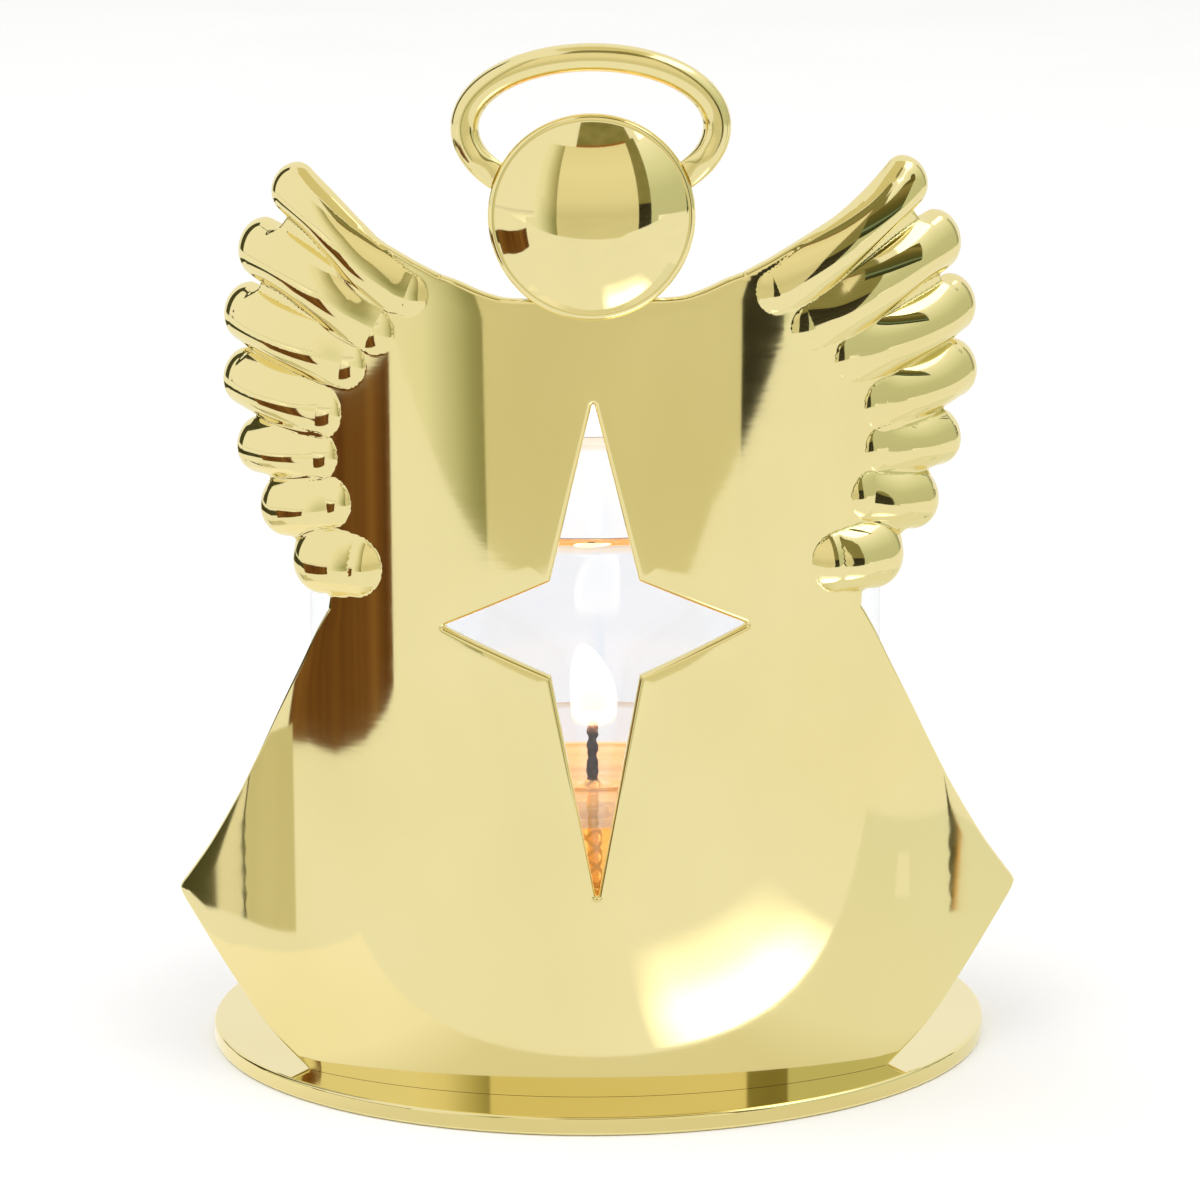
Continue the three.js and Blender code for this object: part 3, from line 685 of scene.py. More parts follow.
def wick():
    m = Nodes("charred_cotton")
    tc = m.add("ShaderNodeTexCoord")
    z = m.add("ShaderNodeSeparateXYZ", Vector=tc.outputs["Object"]).outputs["Z"]
    up = m.add("ShaderNodeMapRange", Value=z, From_Min=0.0175, From_Max=0.0316).outputs["Result"]
    tone = m.ramp(up, [(0.0, (0.34, 0.20, 0.06)), (0.36, (0.44, 0.27, 0.10)), (0.46, (0.30, 0.17, 0.07)), (0.52, (0.060, 0.038, 0.026)), (0.84, (0.034, 0.024, 0.019)), (0.90, (0.36, 0.16, 0.085)), (1.0, (0.55, 0.29, 0.18))])
    speck = m.ramp(m.noise(5200.0, detail=3.0), [(0.35, (0.55, 0.55, 0.55)), (0.8, (1.0, 1.0, 1.0))])
    both = m.add("ShaderNodeMix", {"data_type": "RGBA", "blend_type": "MULTIPLY"})
    both.inputs["Factor"].default_value = 1.0
    m.tree.links.new(tone, both.inputs["A"])
    m.tree.links.new(speck, both.inputs["B"])
    colour = [s for s in both.outputs if s.type == "RGBA"][0]
    # painted light: emission paints the flame's light that reaches the soaked wick under the wax; at the burnt tip it
    # is partly the ember's own glow
    wick_glow_paint = m.ramp(up, [(0.0, (0.30, 0.14, 0.02)), (0.40, (0.34, 0.17, 0.03)), (0.50, (0.10, 0.05, 0.01)), (0.54, (0.0, 0.0, 0.0)), (0.86, (0.0, 0.0, 0.0)), (0.94, (0.20, 0.085, 0.05)), (1.0, (0.34, 0.17, 0.11))])
    return m.principled(Base_Color=colour, Roughness=m.spread(m.noise(3000.0), 0.75, 0.98), Emission_Color=wick_glow_paint, Emission_Strength=0.8,
                        Normal=m.bump(m.noise(7000.0), 6.0e-5))


def flame(name, stops, strength, thin):
    """Glowing gas: brightest in the middle, thinning out below and towards its edge."""
    m = Nodes(name)
    tc = m.add("ShaderNodeTexCoord")
    z = m.add("ShaderNodeSeparateXYZ", Vector=tc.outputs["Object"]).outputs["Z"]
    up = m.add("ShaderNodeMapRange", Value=z, From_Min=0.0300, From_Max=0.0386).outputs["Result"]
    tone = m.ramp(up, stops)
    facing = m.add("ShaderNodeLayerWeight", Blend=0.35).outputs["Facing"]
    rim = m.add("ShaderNodeMapRange", Value=facing, From_Min=thin, From_Max=1.0, To_Min=1.0, To_Max=0.0).outputs["Result"]
    low = m.add("ShaderNodeMapRange", Value=z, From_Min=0.0301, From_Max=0.0322).outputs["Result"]
    alpha = m.add("ShaderNodeMath", {"operation": "MULTIPLY"})
    m.tree.links.new(rim, alpha.inputs[0])
    m.tree.links.new(low, alpha.inputs[1])
    return m.principled(Base_Color=tone, Roughness=1.0, Specular_IOR_Level=0.0, Emission_Color=tone, Emission_Strength=strength,
                        Alpha=alpha.outputs[0])


# ---- the figure: gown panel and wings -------------------------------------------------
def gown_outline():
    seam = smooth(SEAM, 0.40)
    neck = math.asin((77.83 - HEAD_Z) / TAB_R)
    tab = np.array([[TAB_R * math.cos(a), HEAD_Z + TAB_R * math.sin(a)] for a in np.linspace(neck, math.pi - neck, 90)])
    low = smooth([[GOWN_FOOT_S, DISC_T + 0.02]] + GOWN_LOWER, 0.5)
    tip = smooth([GOWN_LOWER[-1]] + GOWN_TIP + [GOWN_UPPER[0]], 0.12)
    high = smooth(GOWN_UPPER + [SEAM[0]], 0.45)
    inner = smooth([SEAM[-1]] + SHOULDER_IN, 0.35)
    right = joined(low, tip, high, seam, inner)
    left = right[::-1] * [-1, 1]
    foot = straight(left[-1], right[0], 0.5)
    outline = joined(right, tab, left, foot)[:-1]
    return outline, seam


OUTLINE, SEAM_LINE = gown_outline()
STAR = filleted([[0, STAR_Z - STAR_DOWN], [-STAR_IN_S, STAR_Z - STAR_IN_DOWN], [-STAR_SIDE, STAR_Z], [-STAR_IN_S, STAR_Z + STAR_IN_UP],
                 [0, STAR_Z + STAR_UP], [STAR_IN_S, STAR_Z + STAR_IN_UP], [STAR_SIDE, STAR_Z], [STAR_IN_S, STAR_Z - STAR_IN_DOWN]], 0.16, 0.4)


def on_seam(p):
    m = np.abs(p[:, 0])
    q = np.stack([m, p[:, 1]], 1)
    return segment_distance(q, SEAM_LINE[:-1], SEAM_LINE[1:]) < 1e-4


def panel_edges():
    """The sheet's free edges: its outline without the seams and the foot, the star, and the wing edges next to the seams."""
    a, b = [], []
    for loop in (OUTLINE, STAR):
        p, q = loop, np.roll(loop, -1, 0)
        keep = ~(on_seam(p) & on_seam(q)) & ~((p[:, 1] < DISC_T + 0.1) & (q[:, 1] < DISC_T + 0.1))
        a.append(p[keep])
        b.append(q[keep])
    for s in (1, -1):
        a.append(np.array([[27.05 * s, 47.3], [14.5 * s, 79.85], [17.0 * s, 80.9]]))
        b.append(np.array([[26.9 * s, 49.2], [17.0 * s, 80.9], [20.4 * s, 82.5]]))
    return np.vstack(a), np.vstack(b)


EDGE_A, EDGE_B = panel_edges()


def signed_edge(q):
    d = segment_distance(q, EDGE_A, EDGE_B)
    whole = inside(q, [OUTLINE, STAR])
    return np.where(whole | (d > 0.2) | on_wing_side(q), d, -d)


def on_wing_side(q):
    """Just beyond a seam the sheet goes on as the wing, so that isn't an edge."""
    m = np.stack([np.abs(q[:, 0]), q[:, 1]], 1)
    return segment_distance(m, SEAM_LINE[:-1], SEAM_LINE[1:]) < 0.05


def panel_front(q):
    return edge_drop(signed_edge(q))


def panel_back(q):
    c = np.clip(segment_distance(q, EDGE_A, EDGE_B), 0.0, BACK_EDGE)
    return PANEL_T - (BACK_EDGE - np.sqrt(np.maximum(BACK_EDGE ** 2 - (BACK_EDGE - c) ** 2, 0.0)))


def wing_outline(relief):
    """The wing's outline: where the union of flange and feathers ends, closed along the seam."""
    h = 0.1
    xs, zs = np.arange(8.0, 45.0, h), np.arange(40.0, 92.0, h)
    gx, gz = np.meshgrid(xs, zs, indexing="ij")
    q = np.stack([gx.ravel(), gz.ravel()], 1)
    f = np.maximum(relief.feathers(q)[0], relief.core_depth(q)).reshape(gx.shape)
    pos = f > 0
    cell = pos[:-1, :-1].astype(int) + pos[1:, :-1] * 2 + pos[1:, 1:] * 4 + pos[:-1, 1:] * 8
    nxt = {}

    def cut(i, j, side):
        (i0, j0), (i1, j1) = {0: ((i, j), (i + 1, j)), 1: ((i + 1, j), (i + 1, j + 1)),
                              2: ((i, j + 1), (i + 1, j + 1)), 3: ((i, j), (i, j + 1))}[side]
        t = f[i0, j0] / (f[i0, j0] - f[i1, j1])
        return (i0, j0, i1, j1), (xs[i0] + (xs[i1] - xs[i0]) * t, zs[j0] + (zs[j1] - zs[j0]) * t)

    turns = {1: [(0, 3)], 2: [(1, 0)], 3: [(1, 3)], 4: [(2, 1)], 5: [(0, 3), (2, 1)], 6: [(2, 0)], 7: [(2, 3)],
             8: [(3, 2)], 9: [(0, 2)], 10: [(1, 0), (3, 2)], 11: [(1, 2)], 12: [(3, 1)], 13: [(0, 1)], 14: [(3, 0)]}
    at = {}
    for i, j in zip(*np.where((cell > 0) & (cell < 15))):
        for s0, s1 in turns[int(cell[i, j])]:
            k0, p0 = cut(i, j, s0)
            k1, p1 = cut(i, j, s1)
            nxt[k0] = k1
            at[k0], at[k1] = p0, p1
    best = []
    left = set(nxt)
    while left:
        start = k = next(iter(sorted(left)[:1]))
        chain = []
        while k in left:
            left.discard(k)
            chain.append(at[k])
            k = nxt.get(k)
        if len(chain) > len(best):
            best = chain
    loop = np.array(best)
    if area(loop) < 0:
        loop = loop[::-1]
    i0 = int(((loop - SEAM[0]) ** 2).sum(1).argmin())
    loop = np.roll(loop, -i0, 0)
    i1 = int(((loop - SEAM[-1]) ** 2).sum(1).argmin())
    outer = loop[2:i1 - 1]
    step = np.concatenate([[0], np.cumsum(np.linalg.norm(np.diff(outer, axis=0), axis=1))])
    n = int(step[-1] / 0.2)
    at_len = np.linspace(0, step[-1], n)
    outer = np.stack([np.interp(at_len, step, outer[:, 0]), np.interp(at_len, step, outer[:, 1])], 1)
    return joined([SEAM[0]], outer, SEAM_LINE[::-1])[:-1]


def seam_pairs(v, border):
    out = set()
    for ring in border:
        p = v[ring]
        hit = on_seam(p)
        for i in range(len(ring)):
            j = (i + 1) % len(ring)
            if hit[i] and hit[j]:
                out.add((ring[i], ring[j]))
    return out


pv, pt, pb = sheet_mesh([OUTLINE.copy(), STAR.copy()], 1.3, (0.03, 0.09, 0.18, 0.31, 0.46, 0.9, 1.6, 2.4))
sheet_piece("gown", pv, pt, pb, panel_front, panel_back, seam_pairs(pv, pb), GOLD_SHEET, "holder", ["gown_panel"])



def wing(side):
    relief = Relief(side)
    outline = wing_outline(relief)
    p, q = outline, np.roll(outline, -1, 0)
    free = ~(on_seam(p) & on_seam(q))
    edge_a, edge_b = p[free], q[free]

    def back(v):
        c = np.clip(segment_distance(v, edge_a, edge_b), 0.0, BACK_EDGE)
        return PANEL_T - (BACK_EDGE - np.sqrt(np.maximum(BACK_EDGE ** 2 - (BACK_EDGE - c) ** 2, 0.0)))

    v, tri, border = sheet_mesh([outline.copy()], 0.25, (0.04, 0.11, 0.22, 0.38), relief.creases)
    shared = np.where(on_seam(v))[0]
    ss, sz = slope(panel_front, v[shared])
    given = list(zip(shared, panel_front(v[shared]), ss, sz))
    sheet_piece("wing_" + side, v, tri, border, relief.front, back, seam_pairs(v, border), GOLD_SHEET, "holder",
                [side + "_wing"], given, side == "left")


for side in ("right", "left"):
    wing(side)

# ---- head, halo -----------------------------------------------------------------------
BALL, BEAD = 15.2, 0.58
top = HEAD_H - 0.02
bead_r = HEAD_R - 0.02 - BEAD
foot_r = bead_r + BEAD * math.cos(math.radians(105))
foot_z = top - BALL + math.sqrt(BALL ** 2 - foot_r ** 2)
bead_z = foot_z - BEAD * math.sin(math.radians(105))
head_runs = [
    line_run((0.0, 0.02), (bead_r + BEAD, 0.02), 6),
    line_run((bead_r + BEAD, 0.02), (bead_r + BEAD, bead_z), 1),
    arc_run((bead_r, bead_z), BEAD, 0, 105, 12),
    arc_run((0.0, top - BALL), BALL, 90 - math.degrees(math.asin(foot_r / BALL)), 90, 26),
]
head_runs[-1][-1] = (0.0, top, 0.0, 1.0)
hv, hf, hn = turned(head_runs, 128)
flat = np.stack([hv[:, 0], -hv[:, 2], HEAD_Z + hv[:, 1]], 1)
flat_n = np.stack([hn[:, 0], -hn[:, 2], hn[:, 1]], 1)
loop_v = np.array([i for f in hf for i in f])
as_piece("head", bent(flat), hf, bent_normals(flat[loop_v], flat_n), GOLD_CAST, "holder", ["head_dome"])



def halo():
    """A round bar on an oval path; towards the head its front flattens, and every strand runs up to the head's side."""
    n_path, n_round, n_along = 900, 44, 150
    ang = np.radians(np.linspace(-62.0, 242.0, n_path))
    mid = np.stack([HALO_A * np.cos(ang), HALO_Z + HALO_B * np.sin(ang)], 1)
    tan = np.gradient(mid, axis=0)
    tan /= np.linalg.norm(tan, axis=1, keepdims=True)
    out = np.stack([tan[:, 1], -tan[:, 0]], 1)
    verts = []
    for k in range(n_round):
        a = 2 * math.pi * k / n_round
        depth = -HALO_BAR * math.sin(a)
        line = mid + out * HALO_BAR * math.cos(a)
        side_r = TAB_R - 0.04 if depth > 0.12 else HEAD_R - 0.06
        clear = np.hypot(line[:, 0], line[:, 1] - HEAD_Z) > side_r
        mid_i = n_path // 2
        i0, i1 = mid_i, mid_i
        while i0 > 0 and clear[i0 - 1]:
            i0 -= 1
        while i1 < n_path - 1 and clear[i1 + 1]:
            i1 += 1
        at = np.linspace(i0, i1, n_along)
        s_ = np.interp(at, np.arange(n_path), line[:, 0])
        z_ = np.interp(at, np.arange(n_path), line[:, 1])
        near = np.clip((np.hypot(s_, z_ - HEAD_Z) - HEAD_R) / 2.4, 0.0, 1.0)
        low = 0.45 + 0.55 * near * near * (3.0 - 2.0 * near)
        verts.append(np.stack([s_, depth * low if depth < 0 else np.full(n_along, depth), z_], 1))
    grid = np.array(verts)
    flat = grid.reshape(-1, 3)
    nrm = np.cross(np.gradient(grid, axis=1), np.roll(grid, -1, 0) - np.roll(grid, 1, 0))
    nrm /= np.linalg.norm(nrm, axis=2, keepdims=True)
    outward = np.stack([grid[..., 0] - grid[..., 0].mean(0), grid[..., 1] - grid[..., 1].mean(0), grid[..., 2] - grid[..., 2].mean(0)], -1)
    nrm = (nrm * np.sign((nrm * outward).sum(-1, keepdims=True))).reshape(-1, 3)
    faces, loops_i = [], []
    for k in range(n_round):
        m = (k + 1) % n_round
        for i in range(n_along - 1):
            faces.append((k * n_along + i, k * n_along + i + 1, m * n_along + i + 1, m * n_along + i))
    ends = [[k * n_along for k in range(n_round)], [k * n_along + n_along - 1 for k in range(n_round)]]
    loops_n = [nrm[i] for f in faces for i in f]
    loops_i = [i for f in faces for i in f]
    for ring, flip in zip(ends, (False, True)):
        c = len(flat)
        flat = np.vstack([flat, flat[ring].mean(0)])
        inward = np.array([0.0, HEAD_Z]) - flat[c][[0, 2]]
        inward /= np.linalg.norm(inward)
        for k in range(n_round):
            pair = (ring[k], ring[(k + 1) % n_round])
            faces.append((c, pair[0], pair[1]) if not flip else (c, pair[1], pair[0]))
            loops_n += [np.array([inward[0], 0.0, inward[1]])] * 3
            loops_i += list(faces[-1])
    xyz = bent(flat)
    nn = bent_normals(flat[loops_i], np.array(loops_n))
    f0 = faces[0]
    turn = np.cross(xyz[f0[1]] - xyz[f0[0]], xyz[f0[2]] - xyz[f0[0]]) @ nn[0]
    if turn < 0:
        out_n, k = [], 0
        for f in faces:
            out_n += list(nn[k:k + len(f)][::-1])
            k += len(f)
        faces, nn = [f[::-1] for f in faces], np.array(out_n)
    as_piece("halo", xyz, faces, nn, GOLD_BAR, "holder", ["halo_ring"])


halo()

# ---- base disc, feet and screws -------------------------------------------------------
BOSS_AT = [(s * (PANEL_R - PANEL_T - GAP - BOSS_R) * math.sin(BOSS_ANGLE),
            PANEL_AXIS_Y - (PANEL_R - PANEL_T - GAP - BOSS_R) * math.cos(BOSS_ANGLE)) for s in (-1, 1)]


def base_disc():
    """Turned disc with a softly rounded rim and two countersunk screw holes."""
    seg = 256
    verts, faces, normals = turned([
        arc_run((DISC_R - DISC_EDGE, DISC_EDGE), DISC_EDGE, -90, 0, 8),
        line_run((DISC_R, DISC_EDGE), (DISC_R, DISC_T - DISC_EDGE), 1),
        arc_run((DISC_R - DISC_EDGE, DISC_T - DISC_EDGE), DISC_EDGE, 0, 90, 8)], seg)
    verts, faces, normals = list(map(tuple, verts)), list(faces), [tuple(n) for n in normals]
    rim = [(DISC_R - DISC_EDGE) * np.array([math.cos(a), math.sin(a)]) for a in np.linspace(0, 2 * math.pi, seg, endpoint=False)]
    holes = {}
    for z, up, r in ((0.0, -1, SCREW_HEAD_R + GAP), (DISC_T, 1, SCREW_R + GAP)):
        loops = [np.array(rim)]
        for x, y in BOSS_AT:
            loops.append(np.array([[x + r * math.cos(a), y + r * math.sin(a)] for a in np.linspace(0, 2 * math.pi, 40, endpoint=False)]))
        pts, edges, k = np.vstack(loops), [], 0
        for l in loops:
            edges += [(k + i, k + (i + 1) % len(l)) for i in range(len(l))]
            k += len(l)
        v, _, tri, origin, _, _ = delaunay_2d_cdt([Vector(p) for p in pts], edges, [], 0, 1e-6)
        v, base = np.array([pts[o[0]] for o in origin]), len(verts)
        verts += [(p[0], p[1], z) for p in v]
        for t in tri:
            if not inside(v[list(t)].mean(0)[None], loops)[0]:
                continue
            p, q, r3 = v[t[0]], v[t[1]], v[t[2]]
            turn = (q[0] - p[0]) * (r3[1] - p[1]) - (q[1] - p[1]) * (r3[0] - p[0])
            t = t if turn * up > 0 else t[::-1]
            faces.append(tuple(base + i for i in t))
            normals += [(0, 0, up)] * 3
    for x, y in BOSS_AT:
        hv2, hf2, hn2 = turned([
            line_run((SCREW_R + GAP, DISC_T), (SCREW_R + GAP, SCREW_HEAD_H + 0.15)),
            line_run((SCREW_R + GAP, SCREW_HEAD_H + 0.15), (SCREW_HEAD_R + GAP, 0.15)),
            line_run((SCREW_HEAD_R + GAP, 0.15), (SCREW_HEAD_R + GAP, 0.0))], 40, (x, y))
        base = len(verts)
        verts += list(map(tuple, hv2))
        faces += [tuple(base + i for i in f) for f in hf2]
        normals += [tuple(n) for n in hn2]
    ob = as_piece("disc", np.array(verts), faces, np.array(normals), GOLD_DISC, "holder", ["base_disc"])
    return ob


base_disc()
for (x, y), side in zip(BOSS_AT, ("left", "right")):
    z0 = DISC_T + 0.02
    z1 = DISC_T + BOSS_H
    v, f, n = turned([
        line_run((TAP_R, z0), (BOSS_R, z0)), line_run((BOSS_R, z0), (BOSS_R, z1 - 0.6)), arc_run((BOSS_R - 0.6, z1 - 0.6), 0.6, 0, 90, 6),
        line_run((BOSS_R - 0.6, z1), (0.0, z1)), line_run((0.0, DISC_T + TAP_DEPTH + 0.6), (TAP_R, DISC_T + TAP_DEPTH)),
        line_run((TAP_R, DISC_T + TAP_DEPTH), (TAP_R, z0))], 48, (x, y))
    as_piece("foot_" + side, v, f, n, GOLD_CAST, "holder", ["foot_boss_" + side])
STEEL = steel()
for side in ("left", "right"):
    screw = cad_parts["screw_" + side]
    screw.data.materials.clear()
    screw.data.materials.append(STEEL)

# ---- glass cup ------------------------------------------------------------------------
ri, lip = GLASS_R - GLASS_WALL, GLASS_WALL / 2
z0 = DISC_T + 0.02
v, f, n = turned([
    line_run((0.0, z0 + 0.5), (GLASS_R - 7.0, z0 + 0.5), 2),
    curve_run([(GLASS_R - 7.0, z0 + 0.5), (GLASS_R - 5.6, z0 + 0.3), (GLASS_R - 4.4, z0)], 0.25),
    line_run((GLASS_R - 4.4, z0), (GLASS_R - 1.6, z0), 1),
    arc_run((GLASS_R - 1.6, z0 + 1.6), 1.6, -90, 0, 10),
    line_run((GLASS_R, z0 + 1.6), (GLASS_R, GLASS_RIM_Z - lip), 10),
    arc_run((GLASS_R - lip, GLASS_RIM_Z - lip), lip, 0, 180, 18),
    line_run((ri, GLASS_RIM_Z - lip), (ri, FLOOR_Z + 3.0), 10),
    arc_run((ri - 3.0, FLOOR_Z + 3.0), 3.0, 0, -90, 10),
    line_run((ri - 3.0, FLOOR_Z), (0.0, FLOOR_Z), 3)], 160, (0.0, CANDLE_Y))
as_piece("cup", v, f, n, GLASS, "cup", ["glass_cup"])

# ---- tealight -------------------------------------------------------------------------
b0, top_z = FLOOR_Z + 0.05, FLOOR_Z + TEA_H
wax_b = FLOOR_Z + TEA_WALL
wax_t = wax_b + WAX_H
rin = TEA_R - TEA_WALL
v, f, n = turned([
    line_run((0.0, b0), (TEA_R - 0.9, b0), 2), arc_run((TEA_R - 0.9, b0 + 0.9), 0.9, -90, 0, 6),
    line_run((TEA_R, b0 + 0.9), (TEA_R, top_z - 0.4), 6), arc_run((TEA_R - 0.4, top_z - 0.4), 0.4, 0, 180, 10),
    line_run((rin, top_z - 0.4), (rin, wax_b + 0.6), 6), arc_run((rin - 0.6, wax_b + 0.6), 0.6, 0, -90, 5),
    line_run((rin - 0.6, wax_b), (0.0, wax_b), 2)], 128, (TEA_X, CANDLE_Y))
as_piece("tea_cup", v, f, n, PLASTIC, "tealight", ["tealight_cup"])

wr, hole = rin + 0.03, WICK_R - 0.08
v, f, n = turned([
    line_run((hole, wax_b - 0.03), (wr - 0.63, wax_b - 0.03), 3), arc_run((wr - 0.63, wax_b + 0.6), 0.63, -90, 0, 5),
    line_run((wr, wax_b + 0.6), (wr, wax_t + 0.25), 4),
    curve_run([(wr, wax_t + 0.25), (wr - 0.35, wax_t + 0.12), (wr - 1.1, wax_t), (wr - 2.5, wax_t)], 0.12),
    line_run((wr - 2.5, wax_t), (2.6, wax_t), 4),
    curve_run([(2.6, wax_t), (1.5, wax_t + 0.06), (0.95, wax_t + 0.28), (hole, wax_t + 0.7)], 0.1),
    line_run((hole, wax_t + 0.7), (hole, wax_b - 0.03), 4)], 128, (TEA_X, CANDLE_Y))
as_piece("wax_pool", v, f, n, wax(), "tealight", ["tealight_wax"])

nk = wax_b + SUST_NECK_H
v, f, n = turned([
    line_run((WICK_R + 0.02, wax_b), (SUST_R, wax_b), 2), line_run((SUST_R, wax_b), (SUST_R, wax_b + 0.25), 1),
    arc_run((SUST_R - 0.15, wax_b + 0.25), 0.15, 0, 90, 4),
    line_run((SUST_R - 0.15, wax_b + SUST_T), (SUST_NECK_R + 0.5, wax_b + SUST_T), 2),
    arc_run((SUST_NECK_R + 0.5, wax_b + SUST_T + 0.5), 0.5, -90, -180, 5),
    line_run((SUST_NECK_R, wax_b + SUST_T + 0.5), (SUST_NECK_R - 0.25, nk - 0.5), 2),
    arc_run((SUST_NECK_R - 0.45, nk - 0.5), 0.2, 0, 90, 4),
    line_run((SUST_NECK_R - 0.45, nk - 0.3), (WICK_R + 0.02, nk - 0.3), 1),
    line_run((WICK_R + 0.02, nk - 0.3), (WICK_R + 0.02, wax_b), 2)], 64, (TEA_X, CANDLE_Y))
as_piece("wick_foot", v, f, n, tin(), "tealight", ["wick_sustainer"])

wick_path = smooth([[0, 0, wax_b + 0.05], [0.02, 0, wax_t - 6.0], [0, 0, wax_t + 1.2], [0.02, 0.01, wax_t + 3.0],
                    [0.08, 0.03, WICK_TOP_Z - 1.6], [0.15, 0.04, WICK_TOP_Z - 0.3]], 0.09) + [TEA_X, CANDLE_Y, 0]


def braid(i, a):
    """Radius of a braided cord: two families of strands crossing each other, frayed at the burnt end."""
    z = wick_path[min(i, len(wick_path) - 1)][2]
    w1, w2 = math.sin(2 * a + 3.3 * z), math.sin(2 * a - 3.3 * z + 1.3)
    r = 0.50 + 0.11 * max(w1, w2) + 0.02 * math.sin(9 * a + 13.0 * z)
    burnt = min(max((z - (wax_t + 1.5)) / 1.5, 0.0), 1.0)
    lump = 0.05 * math.sin(3 * a + 5.1 * z) + 0.05 * math.sin(4.3 * z + 0.7)
    return r * (1.0 - 0.14 * burnt) + burnt * lump


v, f = swept(wick_path, braid, 28, lambda i: (0.0, -1.0, 0.0))
as_piece("wick_braid", v, f, None, wick(), "tealight", ["wick"])

# the flame: a bright drop in a paler, thinner veil
core_mat = flame("flame_core", [(0.0, (1.0, 0.80, 0.52)), (0.22, (1.0, 0.93, 0.78)), (0.4, (1.0, 0.99, 0.95)), (0.88, (1.0, 0.99, 0.94)), (1.0, (1.0, 0.92, 0.72))], 2.6, 0.55)
veil_mat = flame("flame_veil", [(0.0, (0.95, 0.62, 0.40)), (0.25, (1.0, 0.82, 0.62)), (0.7, (1.0, 0.86, 0.68)), (1.0, (1.0, 0.78, 0.52))], 1.25, 0.15)


def drop(profile):
    """A drop turned about the wick, its tip drawn over to the left."""
    runs = [curve_run(profile, 0.22)]
    runs[0][0] = (0.0, profile[0][1], 0.0, -1.0)
    runs[0][-1] = (0.0, profile[-1][1], 0.0, 1.0)
    v, f, n = turned(runs, 48)
    up = np.clip((v[:, 2] - 32.5) / 5.6, 0.0, 1.2)
    return v + np.stack([TEA_X + 0.20 - 0.95 * up ** 1.6, np.full(len(v), CANDLE_Y + 0.04), np.zeros(len(v))], 1), f, n


v, f, n = drop([(0.0, 30.3), (1.2, 30.35), (1.85, 30.9), (2.0, 32.0), (2.0, 33.2), (1.86, 34.5), (1.50, 35.8), (0.98, 36.9), (0.45, 37.6), (0.0, 37.9)])
as_piece("flame_core", v, f, n, core_mat, "tealight")
v, f, n = drop([(0.0, 30.0), (1.35, 30.05), (2.08, 30.7), (2.26, 31.9), (2.26, 33.3), (2.10, 34.7), (1.72, 36.1), (1.15, 37.3), (0.55, 38.1), (0.0, 38.4)])
as_piece("flame_veil", v, f, n, veil_mat, "tealight")

# ---- stage: pale floor, soft lights, and reflector cards outside the picture -----------
def stage_quad(name, corners, mat, card=True):
    me = bpy.data.meshes.new(name)
    me.from_pydata([tuple(c * MM for c in p) for p in corners], [], [tuple(range(len(corners)))])
    ob = bpy.data.objects.new(name, me)
    bpy.context.scene.collection.objects.link(ob)
    me.materials.append(mat)
    if card:
        ob.visible_camera = False
        ob.visible_diffuse = False
        ob.visible_shadow = False
        ob.visible_transmission = False
    return ob


def floor_mat():
    m = Nodes("floor_white")
    tone = m.ramp(m.noise(14.0), [(0.3, (0.775, 0.775, 0.772)), (0.7, (0.792, 0.792, 0.789))])
    return m.principled(Base_Color=tone, Roughness=0.85, Specular_IOR_Level=0.15)


def card_mat(name, dark, light, scale=6.0, stretch=(1, 1, 1), strength=1.0):
    m = Nodes(name)
    tone = m.ramp(m.noise(scale, stretch), [(0.3, dark), (0.7, light)])
    e = m.add("ShaderNodeEmission", Color=tone, Strength=strength)
    m.tree.links.new(e.outputs[0], m.out.inputs["Surface"])
    return m.mat


stage_quad("floor", [(-2500, -2500, 0), (2500, -2500, 0), (2500, 2500, 0), (-2500, 2500, 0)], floor_mat(), card=False)


def stage_mesh(name, verts, faces, mat):
    me = bpy.data.meshes.new(name)
    me.from_pydata([tuple(c * MM for c in p) for p in verts], [], faces)
    ob = bpy.data.objects.new(name, me)
    bpy.context.scene.collection.objects.link(ob)
    me.materials.append(mat)
    ob.visible_camera = ob.visible_diffuse = ob.visible_shadow = ob.visible_transmission = False
    return ob


def bearing(az, radius):
    a = math.radians(az)
    return radius * math.sin(a), -30.0 - radius * math.cos(a)


def screen(name, az0, az1, el0, el1, mat, radius=900.0, eye=85.0):
    """An upright card round the figure, between two bearings and two elevations seen from the head."""
    n = max(2, int(abs(az1 - az0) / 3))
    z0, z1 = (max(0.6, eye + radius * math.tan(math.radians(e))) for e in (el0, el1))
    verts = []
    for k in range(n + 1):
        x, y = bearing(az0 + (az1 - az0) * k / n, radius)
        verts += [(x, y, z0), (x, y, z1)]
    return stage_mesh(name, verts, [(2 * k, 2 * k + 1, 2 * k + 3, 2 * k + 2) for k in range(n)], mat)


LOW_EDGE = [(-420, -300), (-280, -285), (-160, -268), (0, -262), (100, -252), (160, -285), (240, -298), (300, -305), (600, -340)]


def edge_at(az):
    """Distance along a bearing from the figure to the front edge of the bright low card."""
    t = math.tan(math.radians(az))
    for (x0, y0), (x1, y1) in zip(LOW_EDGE[:-1], LOW_EDGE[1:]):
        # x = -(y + 30) * t on the bearing
        den = (x1 - x0) + (y1 - y0) * t
        k = (-(y0 + 30.0) * t - x0) / den
        if -1e-6 <= k <= 1.0 + 1e-6:
            x, y = x0 + (x1 - x0) * k, y0 + (y1 - y0) * k
            return math.hypot(x, y + 30.0)
    return 420.0


def apron(name, az0, az1, mat, far=900.0, z=0.5):
    """A low card beyond the bright one's front edge, between two bearings."""
    n = max(2, int(abs(az1 - az0) / 2.5))
    verts = []
    for k in range(n + 1):
        az = az0 + (az1 - az0) * k / n
        verts += [(*bearing(az, edge_at(az)), z), (*bearing(az, far), z)]
    return stage_mesh(name, verts, [(2 * k, 2 * k + 1, 2 * k + 3, 2 * k + 2) for k in range(n)], mat)


